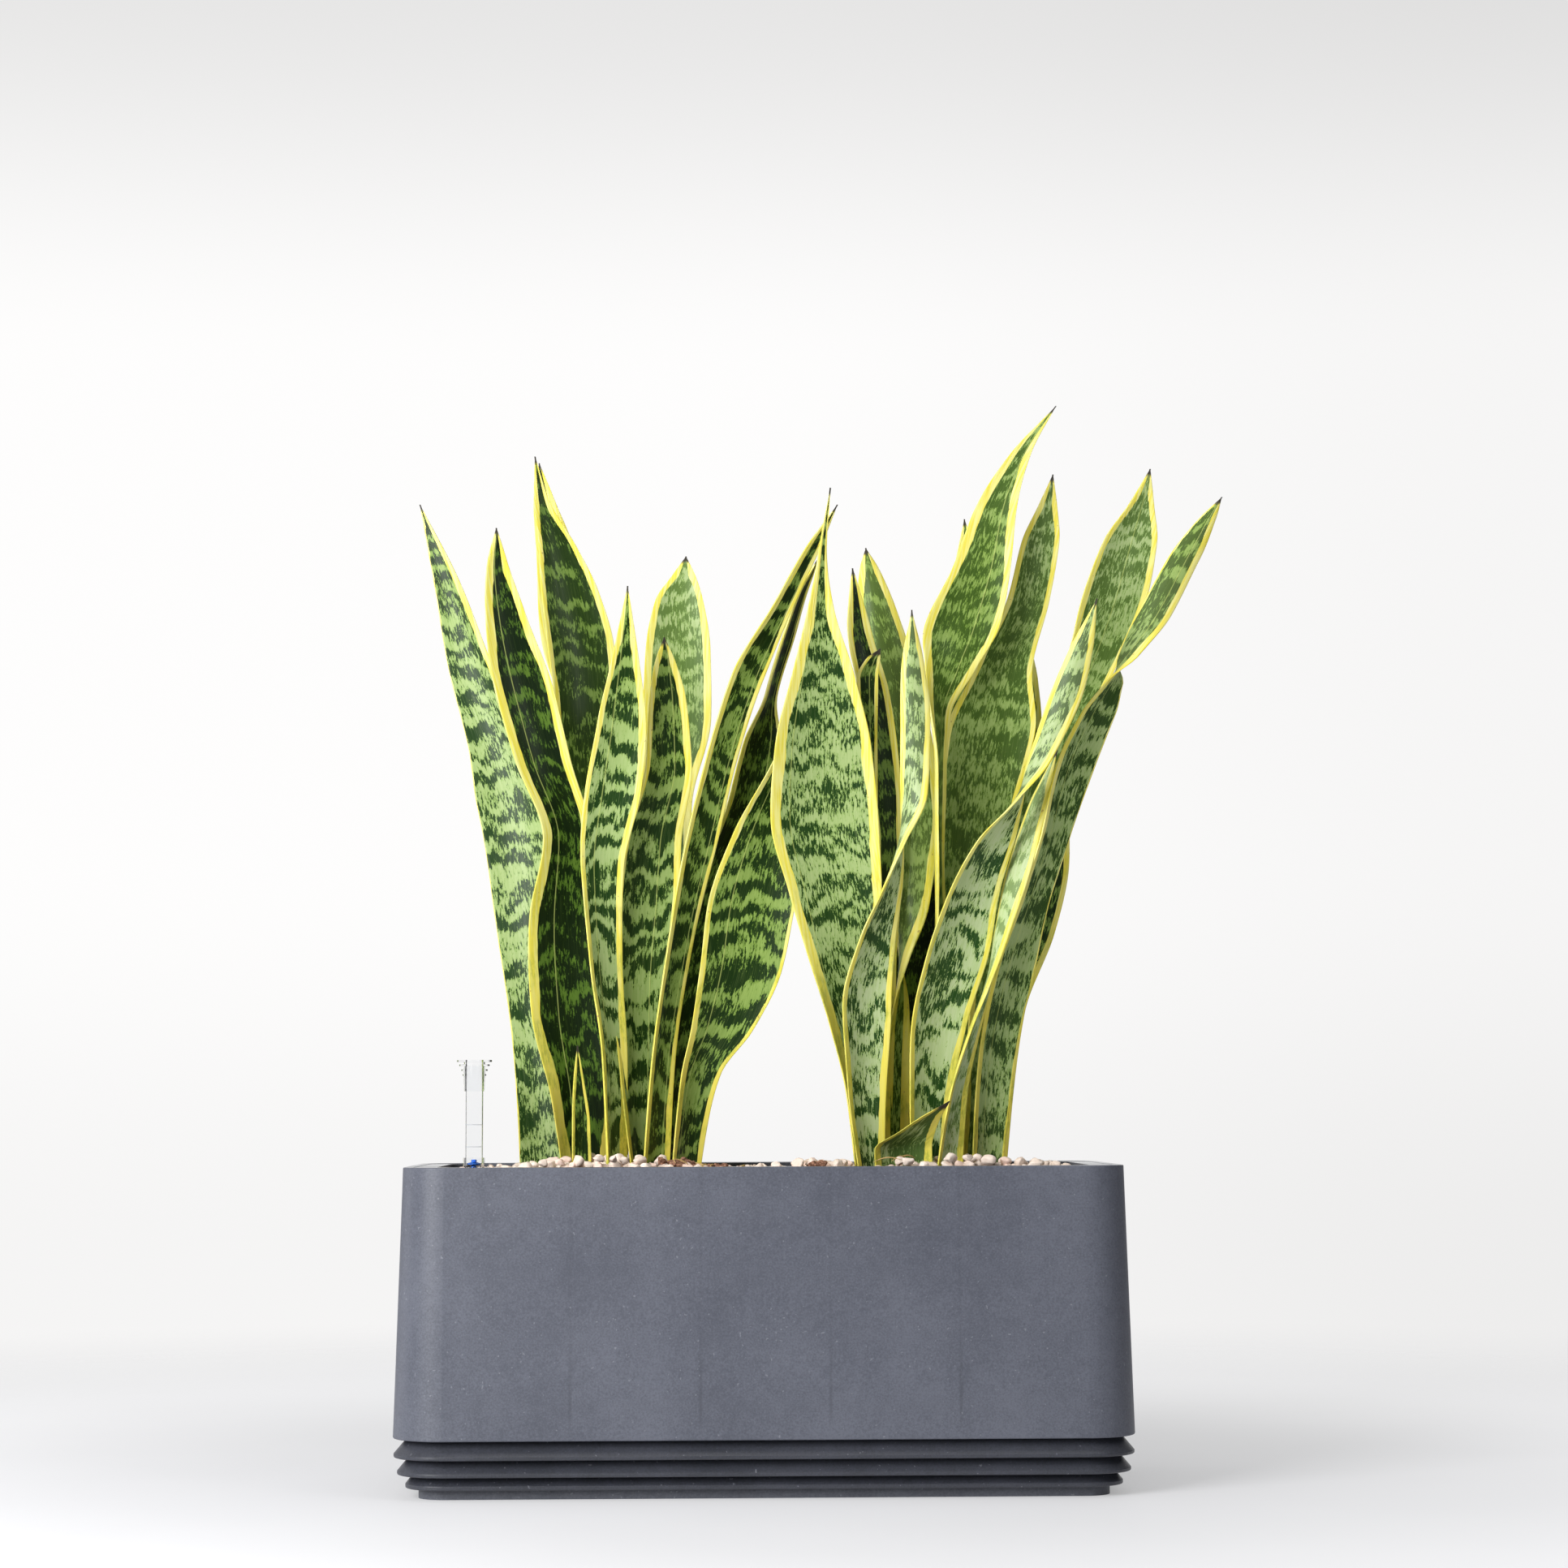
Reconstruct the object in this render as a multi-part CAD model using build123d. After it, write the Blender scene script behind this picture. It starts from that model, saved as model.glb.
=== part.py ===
from build123d import *
import math
import os

os.makedirs("parts", exist_ok=True)

# Self watering planter, millimetres, +Z up. The origin is the middle of the underside,
# on the surface that the planter stands on. -Y is the long front, +X is to the right.

# ---- driving dimensions ----
BODY_LENGTH = 600.0  # outer shell, at its bottom edge
BODY_DEPTH = 250.0
BODY_CORNER = 42.0
BODY_BOTTOM = 47.5
RIM_HEIGHT = 264.0
SHELL_TAPER = 6.5  # each side comes in by this much from the bottom edge to the rim
SHELL_WALL = 4.0
RIM_WIDTH = 8.0
LEDGE_TOP = 260.5
LEDGE_WIDTH = 15.5
LEDGE_THICKNESS = 4.0
EDGE_ROUND = 1.2

TUB_INSET = 21.0  # tub wall, inboard of the shell's bottom edge
TUB_TOP = 73.0
TUB_WALL = 3.0
TUB_FLOOR_TOP = 6.0
TUB_UNDERSIDE = 3.0
TUB_FLANGE_INSET = 6.0
TUB_FLANGE_THICKNESS = 3.0
FOOT_WIDTH = 5.0
OVERFLOW_HEIGHT = 61.0
OVERFLOW_LENGTH = 20.0
OVERFLOW_SLOT = 6.0
FOOT_RIB_XS = (-180.0, -90.0, 90.0, 180.0)
FOOT_RIB_THICKNESS = 3.0
FOOT_RIB_OVERLAP = 2.0  # how far a foot rib stops short of the tub wall's outer face
FOOT_PAD_RADIUS = 20.0
LUG_XS = (-180.0, 0.0, 180.0)
LUG_WIDTH = 16.0
LUG_REACH = 2.0
LUG_HEIGHT = 3.0

LOUVRE_COLLAR_GAP = 0.3
LOUVRE_COLLAR_THICKNESS = 3.0
LOUVRE_SKIN = 2.4
LOUVRE_LIP_ROUND = 1.1
# name: (tip inboard of the shell, lip bottom, lip top, collar bottom, collar top)
LOUVRES = {
    "lower": (10.3, 8.2, 11.4, 8.0, 20.0),
    "middle": (3.6, 18.8, 21.6, 20.0, 38.0),
    "upper": (0.7, 32.4, 35.2, 38.0, 55.0),
}

RIB_XS = (-156.0, -52.0, 52.0, 156.0)
RIB_YS = (-48.0, 48.0)
RIB_THICKNESS = 2.4
RIB_INNER_INSET = 19.0
RIB_BOTTOM = 56.0
RIB_TOP = 250.0
SNAP_GAP = 0.3
RIB_ROOM_OVERLAP = 0.5  # how far a rib runs into the wall that carries it

LINER_WALL = 2.5
LINER_FLANGE_LENGTH = 570.0
LINER_FLANGE_DEPTH = 220.0
LINER_FLANGE_CORNER = 27.0
LINER_FLANGE_BOTTOM = 260.8
LINER_FLANGE_TOP = 263.7
OPENING_LENGTH = 533.0
OPENING_DEPTH = 183.0
OPENING_CORNER = 19.0
LINER_DRAFT = 4.5  # each side, from the flange down to the floor
LINER_FLOOR_BOTTOM = 82.0
LINER_FLOOR_TOP = 85.0
LINER_EDGE_ROUND = 0.8
BASKET_HOLE_GAP = 0.3
DRAIN_HOLE_XS = (-225, -210, -28, -14, 14, 28, 210, 225)
DRAIN_HOLE_YS = (-24, -12, 0, 12, 24)
DRAIN_HOLE_RADIUS = 2.0

BASKET_X = 95.0
BASKET_LENGTH = 88.0
BASKET_DEPTH = 62.0
BASKET_CORNER = 11.0
BASKET_DRAFT = 5.0
BASKET_WALL = 2.0
BASKET_BOTTOM = 12.0
BASKET_FLANGE = 6.0
SLOT_WIDTH = 3.0
SLOT_SPANS = ((20.0, 44.0), (50.0, 74.0))  # lower and upper row, heights
SIDE_SLOT_XS = (-27.0, -13.5, 0.0, 13.5, 27.0)
END_SLOT_YS = (-14.0, 0.0, 14.0)
FLOOR_SLOT_XS = (-24.0, -12.0, 0.0, 12.0, 24.0)
FLOOR_SLOT_LENGTH = 36.0

LEG_PLACES = [(x, y) for x in (-190.0, 0.0, 190.0) for y in (-52.0, 52.0)]
LEG_DIAMETER = 26.0
LEG_WALL = 2.4
LEG_CAP = 4.0
LEG_WINDOW_WIDTH = 7.0
LEG_WINDOW_HEIGHT = 16.0
LEG_WINDOW_MIDDLE = 14.0

SOIL_TOP = 243.0
PEBBLE_TOP = 259.0
FILL_GAP = 0.2
BASKET_FILL_GAP = 0.5  # round the flange of a wick basket

GAUGE_X = -238.0
GAUGE_Y = -55.0
GUIDE_DIAMETER = 17.6
GUIDE_BORE = 14.66
GUIDE_BOTTOM = 40.0
GUIDE_TOP = 271.0
GROMMET_HOLE_RADIUS = 10.6
GROMMET_DIAMETER = 26.0
GROMMET_LIP = 3.0
GROMMET_ROOM_RADIUS = 13.4
TUBE_DIAMETER = 14.5
TUBE_BORE = 13.1
TUBE_BOTTOM = 12.0
TUBE_TOP = 346.0
COLLAR_TOP = 351.0
COLLAR_BOTTOM = 325.4
COLLAR_CORE_RADIUS = 8.6
COLLAR_LOW_RADIUS = 8.35
COLLAR_STRAIGHT = 14.0  # the part of the grip that carries the rings
RING_THICKNESS = 1.3
COLLAR_RINGS = ((9.65, 12.9), (10.8, 8.9), (12.5, 4.9))  # radius, underside below the top
MOUTH_RADIUS = 14.35
MOUTH_THICKNESS = 1.6
TUBE_SLOT_SPAN = (20.0, 32.0)
TUBE_SLOT_WIDTH = 3.0
GAUGE_FOOT_BOTTOM = 7.0
GAUGE_FOOT_WALL = 1.5
GAUGE_FOOT_SPIGOT = 4.0
GAUGE_FOOT_BORE = 11.0
INLET_SIZE = 3.0

FLOAT_DIAMETER = 12.4
FLOAT_BOTTOM = 18.0
FLOAT_TOP = 70.0
ROD_DIAMETER = 1.8
ROD_DEPTH = 10.0  # how far the rod goes into the float
FLOAT_CHAMFER = 1.0
POINTER_HEIGHT = 266.0
POINTER_DIAMETER = 12.4
POINTER_THICKNESS = 3.0
POINTER_RIM_THICKNESS = 0.6
POINTER_HUB_DIAMETER = 4.5
POINTER_HUB_LENGTH = 7.0

DRAIN_X = 240.0
DRAIN_BORE_RADIUS = 8.0
DRAIN_BOSS_RADIUS = 14.0
DRAIN_BOSS_TOP = 9.0
DRAIN_BOSS_BOTTOM = 0.5
SEAL_THICKNESS = 1.5
SEAL_GAP = 0.3
PLUG_CLEARANCE = 0.06
PLUG_BOTTOM = 3.5
PLUG_CAP_THICKNESS = 2.5
PLUG_CAP_INSET = 0.5
SEAL_INSET = 1.0
GRIP_THICKNESS = 3.0
GRIP_WIDTH = 16.0
GRIP_TOP = 14.0  # above the seal
GRIP_ROUND = 5.0
GRIP_EYE_HEIGHT = 8.5
GRIP_EYE_RADIUS = 3.2
CUT_PAST = 5.0  # how far a cutting block runs past the wall it cuts

LEAF_THICKNESS = 4.0  # at the middle of the blade
LEAF_EDGE = 1.2
LEAF_TIP = 1.6
LEAF_CUP = 0.12  # depth of the blade's channel, as a share of its width

# ---- leaves ----
# Each blade runs up from below the pebbles. A station is (height, x, y, width, turn):
# the middle of the blade, its width, and the way it faces in degrees anticlockwise
# from the front. Past 90 degrees the blade shows its back.
LEFT_PLANT = {
    "outer_left": [
        (230, -178, 16, 50, -12), (360, -186, 21, 52, -18), (500, -200, 30, 66, -18),
        (570, -212, 38, 66, -16), (620, -226, 43, 53, -16), (690, -250, 51, 41, -15),
        (770, -273, 60, 23, -15), (838, -297, 70, 0, -15),
    ],
    "dark_front": [
        (230, -146, -6, 36, 20), (320, -150, -14, 56, 18), (390, -158, -21, 72, 17),
        (470, -163, -27, 66, 19), (535, -163, -30, 44, 23), (600, -183, -38, 50, 25),
        (660, -199, -40, 52, 21), (730, -216, -43, 34, 20), (770, -222, -44, 17, 25),
        (797, -223, -45, 0, 25),
    ],
    "tall_back": [
        (230, -128, 26, 24, 20), (425, -136, 36, 44, 15), (560, -146, 43, 54, 15),
        (650, -150, 46, 56, 20), (710, -155, 53, 60, 19), (760, -165, 54, 51, 17),
        (800, -176, 56, 34, 19), (840, -190, 58, 14, 20), (879, -196, 60, 0, 20),
    ],
    "rear_back": [
        (230, -126, 46, 27, 0), (430, -136, 60, 38, 0), (570, -142, 72, 38, -3),
        (640, -151, 77, 33, 0), (720, -169, 83, 44, 0), (800, -179, 89, 34, 3),
        (850, -190, 93, 17, 5), (880, -194, 95, 0, 5),
    ],
    "centre_front": [
        (230, -120, -34, 28, 58), (355, -123, -40, 31, 52), (430, -130, -46, 34, 38),
        (510, -133, -54, 38, 23), (575, -124, -59, 47, 12), (630, -117, -64, 41, 11),
        (680, -114, -69, 24, 13), (743, -112, -75, 0, 13),
    ],
    "centre_right": [
        (230, -95, -18, 30, 50), (340, -99, -20, 48, 34), (410, -100, -22, 56, 25),
        (485, -95, -23, 54, 20), (535, -91, -27, 50, 20), (600, -78, -32, 41, 20),
        (655, -79, -34, 32, 22), (685, -81, -36, 18, 24), (705, -82, -40, 0, 24),
    ],
    "broad_back": [
        (230, -82, 34, 26, 0), (430, -82, 47, 42, 0), (570, -82, 60, 46, 0),
        (650, -72, 69, 60, 2), (710, -71, 76, 57, 2), (755, -70, 80, 42, 2),
        (778, -66, 83, 20, 0), (795, -64, 85, 0, 0),
    ],
    "leaning_right": [
        (230, -90, -38, 32, 49), (345, -83, -36, 29, 49), (450, -68, -32, 29, 45),
        (545, -48, -29, 32, 34), (610, -32, -27, 31, 31), (675, -11, -25, 31, 27),
        (735, 19, -24, 20, 31), (780, 42, -24, 15, 30), (821, 65, -25, 0, 30),
    ],
    "edge_on": [
        (230, -72, 2, 36, 30), (355, -64, 5, 46, 26), (430, -50, 7, 52, 24),
        (500, -34, 8, 48, 24), (565, -10, 8, 44, 26), (620, 1, 9, 37, 31),
        (665, 10, 10, 24, 68), (715, 25, 11, 22, 63), (750, 36, 10, 16, 63),
        (781, 50, 10, 0, 60),
    ],
    "broad_right": [
        (230, -67, -23, 31, 45), (305, -58, -24, 34, 40), (340, -51, -26, 38, 32),
        (375, -34, -29, 54, 17), (425, -18, -31, 70, 10), (480, -9, -31, 74, 8),
        (540, 5, -32, 59, 10), (600, 24, -32, 32, 18), (655, 38, -33, 14, 25),
        (696, 42, -35, 0, 25),
    ],
    "short_sheath": [
        (230, -150, -30, 18, 27), (300, -151, -32, 16, 27), (335, -153, -34, 9, 27),
        (363, -154, -36, 0, 27),
    ],
}
RIGHT_PLANT = {
    "great_front": [
        (230, 89, -28, 28, 50), (320, 84, -30, 35, 38), (380, 76, -32, 47, 26),
        (435, 68, -36, 63, 17), (490, 61, -42, 80, 13), (550, 52, -49, 92, 10),
        (610, 51, -55, 83, 10), (670, 51, -61, 54, 13), (725, 49, -67, 23, 20),
        (765, 50, -70, 9, 25), (826, 57, -75, 0, 25),
    ],
    "twisted_front": [
        (230, 92, -34, 23, 40), (335, 86, -50, 39, 28), (395, 86, -56, 46, 28),
        (450, 95, -62, 38, 38), (490, 107, -68, 30, 54), (530, 117, -75, 26, 90),
        (570, 125, -79, 25, 150), (630, 126, -85, 25, 175), (675, 124, -89, 19, 180),
        (720, 123, -95, 0, 180),
    ],
    "middle_back": [
        (230, 112, -1, 21, 28), (340, 114, 1, 24, 24), (395, 118, 3, 22, 49),
        (430, 121, 5, 22, 94), (485, 127, 9, 34, 163), (560, 130, 15, 47, 173),
        (620, 124, 19, 48, 173), (685, 112, 25, 45, 175), (735, 102, 30, 35, 175),
        (775, 95, 33, 17, 175), (794, 92, 35, 0, 175),
    ],
    "deep_middle": [
        (230, 142, 24, 50, 8), (400, 140, 28, 62, 6), (470, 141, 30, 54, 5),
        (530, 144, 32, 34, 4), (585, 143, 34, 12, 0), (605, 142, 34, 0, 0),
    ],
    "dark_middle": [
        (230, 99, 0, 17, 28), (425, 102, -7, 25, 23), (525, 108, -11, 25, 23),
        (605, 103, -12, 29, 20), (660, 96, -13, 28, 17), (712, 84, -14, 22, 16),
        (747, 80, -15, 10, 20), (768, 78, -15, 0, 20),
    ],
    "small_side": [
        (230, 88, -6, 14, 17), (490, 91, -20, 15, 23), (625, 90, -31, 16, 22),
        (670, 89, -36, 19, 18), (687, 94, -36, 13, 26), (696, 100, -35, 0, 26),
    ],
    "tallest": [
        (230, 161, 5, 19, 32), (425, 154, 5, 23, 59), (530, 153, 4, 29, 76),
        (600, 154, 2, 31, 74), (645, 153, 0, 33, 55), (685, 162, -3, 48, 18),
        (720, 172, -3, 65, 5), (770, 189, -3, 50, 2), (825, 203, -1, 35, 0),
        (870, 224, 0, 18, 0), (912, 255, 0, 0, 0),
    ],
    "behind_tallest": [
        (230, 164, 32, 23, 10), (495, 165, 46, 28, 4), (640, 173, 53, 34, 3),
        (737, 180, 58, 37, 3), (788, 182, 59, 20, 3), (824, 180, 60, 0, 3),
    ],
    "broad_middle": [
        (230, 157, 17, 26, 13), (460, 173, 24, 51, 11), (565, 186, 25, 67, 12),
        (632, 198, 25, 79, 10), (690, 211, 26, 51, 14), (747, 232, 27, 39, 15),
        (797, 243, 28, 34, 13), (830, 250, 29, 17, 13), (858, 255, 30, 0, 13),
    ],
    "behind_broad": [
        (230, 171, 41, 21, 5), (460, 196, 57, 28, 4), (565, 213, 66, 35, 3),
        (635, 228, 72, 38, 3), (683, 231, 76, 28, 3), (719, 233, 79, 10, 5),
        (737, 234, 80, 0, 5),
    ],
    "right_back": [
        (230, 179, 19, 26, 23), (425, 197, 25, 35, 20), (530, 225, 30, 40, 18),
        (635, 262, 34, 41, 17), (705, 292, 36, 51, 16), (750, 308, 38, 60, 14),
        (800, 323, 42, 50, 14), (835, 334, 44, 23, 18), (866, 342, 45, 0, 18),
    ],
    "twisted_right": [
        (230, 135, -34, 34, 36), (325, 140, -38, 42, 31), (380, 147, -42, 53, 27),
        (435, 162, -45, 60, 26), (490, 177, -48, 51, 31), (530, 194, -52, 41, 38),
        (567, 216, -55, 26, 80), (600, 232, -55, 24, 143), (650, 253, -56, 28, 166),
        (692, 267, -59, 20, 169), (735, 281, -60, 0, 169),
    ],
    "outer_right": [
        (230, 185, -19, 29, 38), (355, 197, -22, 40, 33), (422, 211, -23, 43, 34),
        (485, 230, -25, 37, 45), (530, 245, -26, 39, 46), (600, 266, -28, 44, 36),
        (642, 285, -29, 37, 36), (668, 299, -28, 26, 55), (690, 311, -26, 24, 130),
        (725, 333, -24, 30, 168), (775, 360, -22, 28, 176), (810, 381, -21, 15, 175),
        (829, 394, -20, 0, 175),
    ],
    "behind_outer_right": [
        (230, 193, 8, 21, 11), (390, 212, 12, 24, 15), (458, 237, 15, 28, 16),
        (507, 250, 16, 26, 13), (556, 257, 18, 16, 14), (594, 268, 20, 0, 14),
    ],
    "low_twist": [
        (230, 151, -47, 31, 36), (320, 162, -46, 24, 50), (375, 177, -44, 21, 63),
        (410, 189, -42, 20, 80), (457, 201, -39, 22, 121), (507, 215, -33, 25, 140),
        (560, 232, -26, 21, 139), (612, 251, -15, 0, 139),
    ],
    "short_bent": [
        (230, 118, -56, 47, 10), (278, 115, -62, 50, 16), (290, 125, -68, 35, 24),
        (302, 136, -74, 21, 29), (316, 152, -80, 0, 29),
    ],
}


# ---- shared shapes ----
def hoop(profile, length, depth, corner):
    """A closed hoop: a section swept round a rounded rectangle.

    The section's x is measured outwards from the rectangle and its y is height."""
    path = RectangleRounded(length, depth, corner).wire()
    start = path @ 0
    outward = (path % 0).cross(Vector(0, 0, 1))
    if outward.dot(start) < 0:
        outward = -outward
    section_plane = Plane(origin=start, x_dir=outward, z_dir=outward.cross(Vector(0, 0, 1)))
    return sweep(section_plane * profile, path=path)


def block(bottom, top, length, depth, corner, inset=0.0):
    """An upright block with rounded corners, drawn in by inset on every side."""
    outline = RectangleRounded(length - 2 * inset, depth - 2 * inset, corner - inset)
    return Pos(0, 0, bottom) * extrude(outline, top - bottom)


def tapered(bottom, top, low, high):
    """A block whose outline goes from low to high, each (length, depth, corner)."""
    low_outline = Pos(0, 0, bottom) * RectangleRounded(*low)
    high_outline = Pos(0, 0, top) * RectangleRounded(*high)
    return loft([low_outline.face(), high_outline.face()], ruled=True)


def upright(x, y, bottom, top, radius):
    """A round column standing at x, y."""
    return Pos(x, y, (bottom + top) / 2) * Cylinder(radius, top - bottom)


def brick(x_span, y_span, z_span):
    """A plain box given by its three spans."""
    centre = [(low + high) / 2 for low, high in (x_span, y_span, z_span)]
    size = [high - low for low, high in (x_span, y_span, z_span)]
    return Pos(*centre) * Box(*size)


def shell_inset(height):
    """How far the shell's outer face has come in at a height."""
    return SHELL_TAPER * (height - BODY_BOTTOM) / (RIM_HEIGHT - BODY_BOTTOM)


# ---- outer shell ----
def shell_profile():
    """The section of the shell's wall, with its rim and the liner's ledge."""
    ledge_bottom = LEDGE_TOP - LEDGE_THICKNESS
    rim = -shell_inset(RIM_HEIGHT)
    points = [
        (0, BODY_BOTTOM),
        (rim, RIM_HEIGHT),
        (rim - RIM_WIDTH, RIM_HEIGHT),
        (rim - RIM_WIDTH, LEDGE_TOP),
        (rim - LEDGE_WIDTH, LEDGE_TOP),
        (rim - LEDGE_WIDTH, ledge_bottom),
        (-shell_inset(ledge_bottom) - SHELL_WALL, ledge_bottom),
        (-SHELL_WALL, BODY_BOTTOM),
    ]
    face = make_face(Polyline(*points, close=True))
    rounded = [v for v in face.vertices() if is_outer_edge(v)]
    return fillet(rounded, EDGE_ROUND)


def is_outer_edge(vertex):
    """True for the section's corners at the bottom edge and along the rim."""
    on_rim = abs(vertex.Y - RIM_HEIGHT) < 0.01
    on_bottom = abs(vertex.Y - BODY_BOTTOM) < 0.01
    return on_rim or on_bottom


def snap_ribs():
    """Upright ribs inside the wall, notched where the tub's flange snaps in."""
    def wall_inside(draw_in):
        side = 2 * (draw_in - RIB_ROOM_OVERLAP)
        return BODY_LENGTH - side, BODY_DEPTH - side, BODY_CORNER - draw_in

    room = tapered(
        BODY_BOTTOM, LEDGE_TOP, wall_inside(SHELL_WALL), wall_inside(SHELL_WALL + SHELL_TAPER),
    )
    half_x = BODY_LENGTH / 2
    half_y = BODY_DEPTH / 2
    half_rib = RIB_THICKNESS / 2
    ribs = Part()
    for x in RIB_XS:
        for side in (-1, 1):
            y_span = sorted((side * (half_y - RIB_INNER_INSET), side * half_y))
            ribs += brick((x - half_rib, x + half_rib), y_span, (RIB_BOTTOM, RIB_TOP))
    for y in RIB_YS:
        for side in (-1, 1):
            x_span = sorted((side * (half_x - RIB_INNER_INSET), side * half_x))
            ribs += brick(x_span, (y - half_rib, y + half_rib), (RIB_BOTTOM, RIB_TOP))
    notch = block(
        TUB_TOP - TUB_FLANGE_THICKNESS - SNAP_GAP, TUB_TOP + SNAP_GAP,
        BODY_LENGTH, BODY_DEPTH, BODY_CORNER, TUB_FLANGE_INSET - SNAP_GAP,
    )
    return (ribs & room) - notch


def outer_shell():
    wall = hoop(shell_profile(), BODY_LENGTH, BODY_DEPTH, BODY_CORNER)
    return wall + snap_ribs()


# ---- reservoir tub ----
def tub_block(bottom, top, inset=0.0):
    return block(bottom, top, BODY_LENGTH, BODY_DEPTH, BODY_CORNER, TUB_INSET + inset)


def reservoir_tub():
    tub = tub_block(0, TUB_TOP)
    tub += block(
        TUB_TOP - TUB_FLANGE_THICKNESS, TUB_TOP,
        BODY_LENGTH, BODY_DEPTH, BODY_CORNER, TUB_FLANGE_INSET,
    )
    tub -= tub_block(TUB_FLOOR_TOP, TUB_TOP, TUB_WALL)
    tub -= tub_block(0, TUB_UNDERSIDE, FOOT_WIDTH)
    half_x = BODY_LENGTH / 2 - TUB_INSET
    half_y = BODY_DEPTH / 2 - TUB_INSET
    # feet ribs under the floor, crossing at a round pad in the middle
    half_rib = FOOT_RIB_THICKNESS / 2
    rib_x = half_x - FOOT_RIB_OVERLAP
    rib_y = half_y - FOOT_RIB_OVERLAP
    for x in FOOT_RIB_XS:
        tub += brick((x - half_rib, x + half_rib), (-rib_y, rib_y), (0, TUB_UNDERSIDE))
    tub += brick((-rib_x, rib_x), (-half_rib, half_rib), (0, TUB_UNDERSIDE))
    tub += upright(0, 0, 0, TUB_UNDERSIDE, FOOT_PAD_RADIUS)
    # lugs that hold up the lowest louvre
    lug_top = LOUVRES["lower"][3]
    half_lug = LUG_WIDTH / 2
    lugs = brick(
        (-half_x - LUG_REACH, half_x + LUG_REACH), (-half_lug, half_lug), (lug_top - LUG_HEIGHT, lug_top),
    )
    for x in LUG_XS:
        lugs += brick(
            (x - half_lug, x + half_lug), (-half_y - LUG_REACH, half_y + LUG_REACH),
            (lug_top - LUG_HEIGHT, lug_top),
        )
    tub += lugs - tub_block(0, TUB_TOP, TUB_WALL / 3)
    # overflow slots, one in each end, above the water line
    half_slot = OVERFLOW_SLOT / 2
    tub -= brick(
        (-half_x - CUT_PAST, half_x + CUT_PAST), (-OVERFLOW_LENGTH / 2, OVERFLOW_LENGTH / 2),
        (OVERFLOW_HEIGHT - half_slot, OVERFLOW_HEIGHT + half_slot),
    )
    # drain boss and its bore
    tub += upright(DRAIN_X, 0, TUB_UNDERSIDE, DRAIN_BOSS_TOP, DRAIN_BOSS_RADIUS)
    tub += upright(DRAIN_X, 0, DRAIN_BOSS_BOTTOM, TUB_UNDERSIDE, DRAIN_BOSS_RADIUS)
    tub -= upright(DRAIN_X, 0, 0, DRAIN_BOSS_TOP, DRAIN_BORE_RADIUS)
    return tub


# ---- louvre rings ----
def louvre_ring(tip_inset, lip_bottom, lip_top, collar_bottom, collar_top):
    """A collar round the tub with a skirt that slopes out and down to a rounded lip."""
    collar_in = -TUB_INSET + LOUVRE_COLLAR_GAP
    collar_out = collar_in + LOUVRE_COLLAR_THICKNESS
    tip = -tip_inset
    fall = collar_top - lip_top
    run = tip - collar_out
    drop = LOUVRE_SKIN * math.hypot(fall, run) / run  # skin thickness, measured upright
    points = [
        (collar_in, collar_top),
        (collar_out, collar_top),
        (tip, lip_top),
        (tip, lip_bottom),
        (tip - LOUVRE_SKIN, lip_bottom),
        (tip - LOUVRE_SKIN, lip_top + fall * LOUVRE_SKIN / run - drop + LOUVRE_SKIN / 2),
        (collar_out, collar_top - drop),
        (collar_out, collar_bottom),
        (collar_in, collar_bottom),
    ]
    face = make_face(Polyline(*points, close=True))
    lip = [v for v in face.vertices() if abs(v.X - tip) < 0.01]
    face = fillet(lip, LOUVRE_LIP_ROUND)
    return hoop(face, BODY_LENGTH, BODY_DEPTH, BODY_CORNER)


# ---- drain plug ----
def drain_plug():
    seat = DRAIN_BOSS_TOP + SEAL_THICKNESS
    cap_top = seat + PLUG_CAP_THICKNESS
    half_grip = GRIP_THICKNESS / 2
    plug = upright(DRAIN_X, 0, PLUG_BOTTOM, seat, DRAIN_BORE_RADIUS - PLUG_CLEARANCE)
    plug += upright(DRAIN_X, 0, seat, cap_top, DRAIN_BOSS_RADIUS - PLUG_CAP_INSET)
    grip = brick(
        (DRAIN_X - half_grip, DRAIN_X + half_grip), (-GRIP_WIDTH / 2, GRIP_WIDTH / 2),
        (cap_top, seat + GRIP_TOP),
    )
    grip = fillet(grip.edges().filter_by(Axis.X).group_by(Axis.Z)[-1], GRIP_ROUND)
    eye = Rot(0, 90, 0) * Cylinder(GRIP_EYE_RADIUS, 2 * GRIP_THICKNESS)
    return plug + (grip - Pos(DRAIN_X, 0, seat + GRIP_EYE_HEIGHT) * eye)


def drain_plug_seal():
    seal_top = DRAIN_BOSS_TOP + SEAL_THICKNESS
    ring = upright(DRAIN_X, 0, DRAIN_BOSS_TOP, seal_top, DRAIN_BOSS_RADIUS - SEAL_INSET)
    return ring - upright(DRAIN_X, 0, DRAIN_BOSS_TOP, seal_top, DRAIN_BORE_RADIUS + SEAL_GAP)


# ---- liner ----
def liner_cavity(bottom, top, inset=0.0):
    """The inside of the liner between two heights, drawn in by inset."""
    def outline(height):
        share = (LINER_FLANGE_TOP - height) / (LINER_FLANGE_TOP - LINER_FLOOR_TOP)
        draw_in = 2 * (LINER_DRAFT * share + inset)
        return OPENING_LENGTH - draw_in, OPENING_DEPTH - draw_in, OPENING_CORNER - inset

    return tapered(bottom, top, outline(bottom), outline(top))


def basket_outline(height, inset=0.0):
    share = (LINER_FLOOR_TOP - height) / (LINER_FLOOR_TOP - BASKET_BOTTOM)
    draw_in = 2 * (BASKET_DRAFT * share + inset)
    return BASKET_LENGTH - draw_in, BASKET_DEPTH - draw_in, BASKET_CORNER - inset


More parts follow.
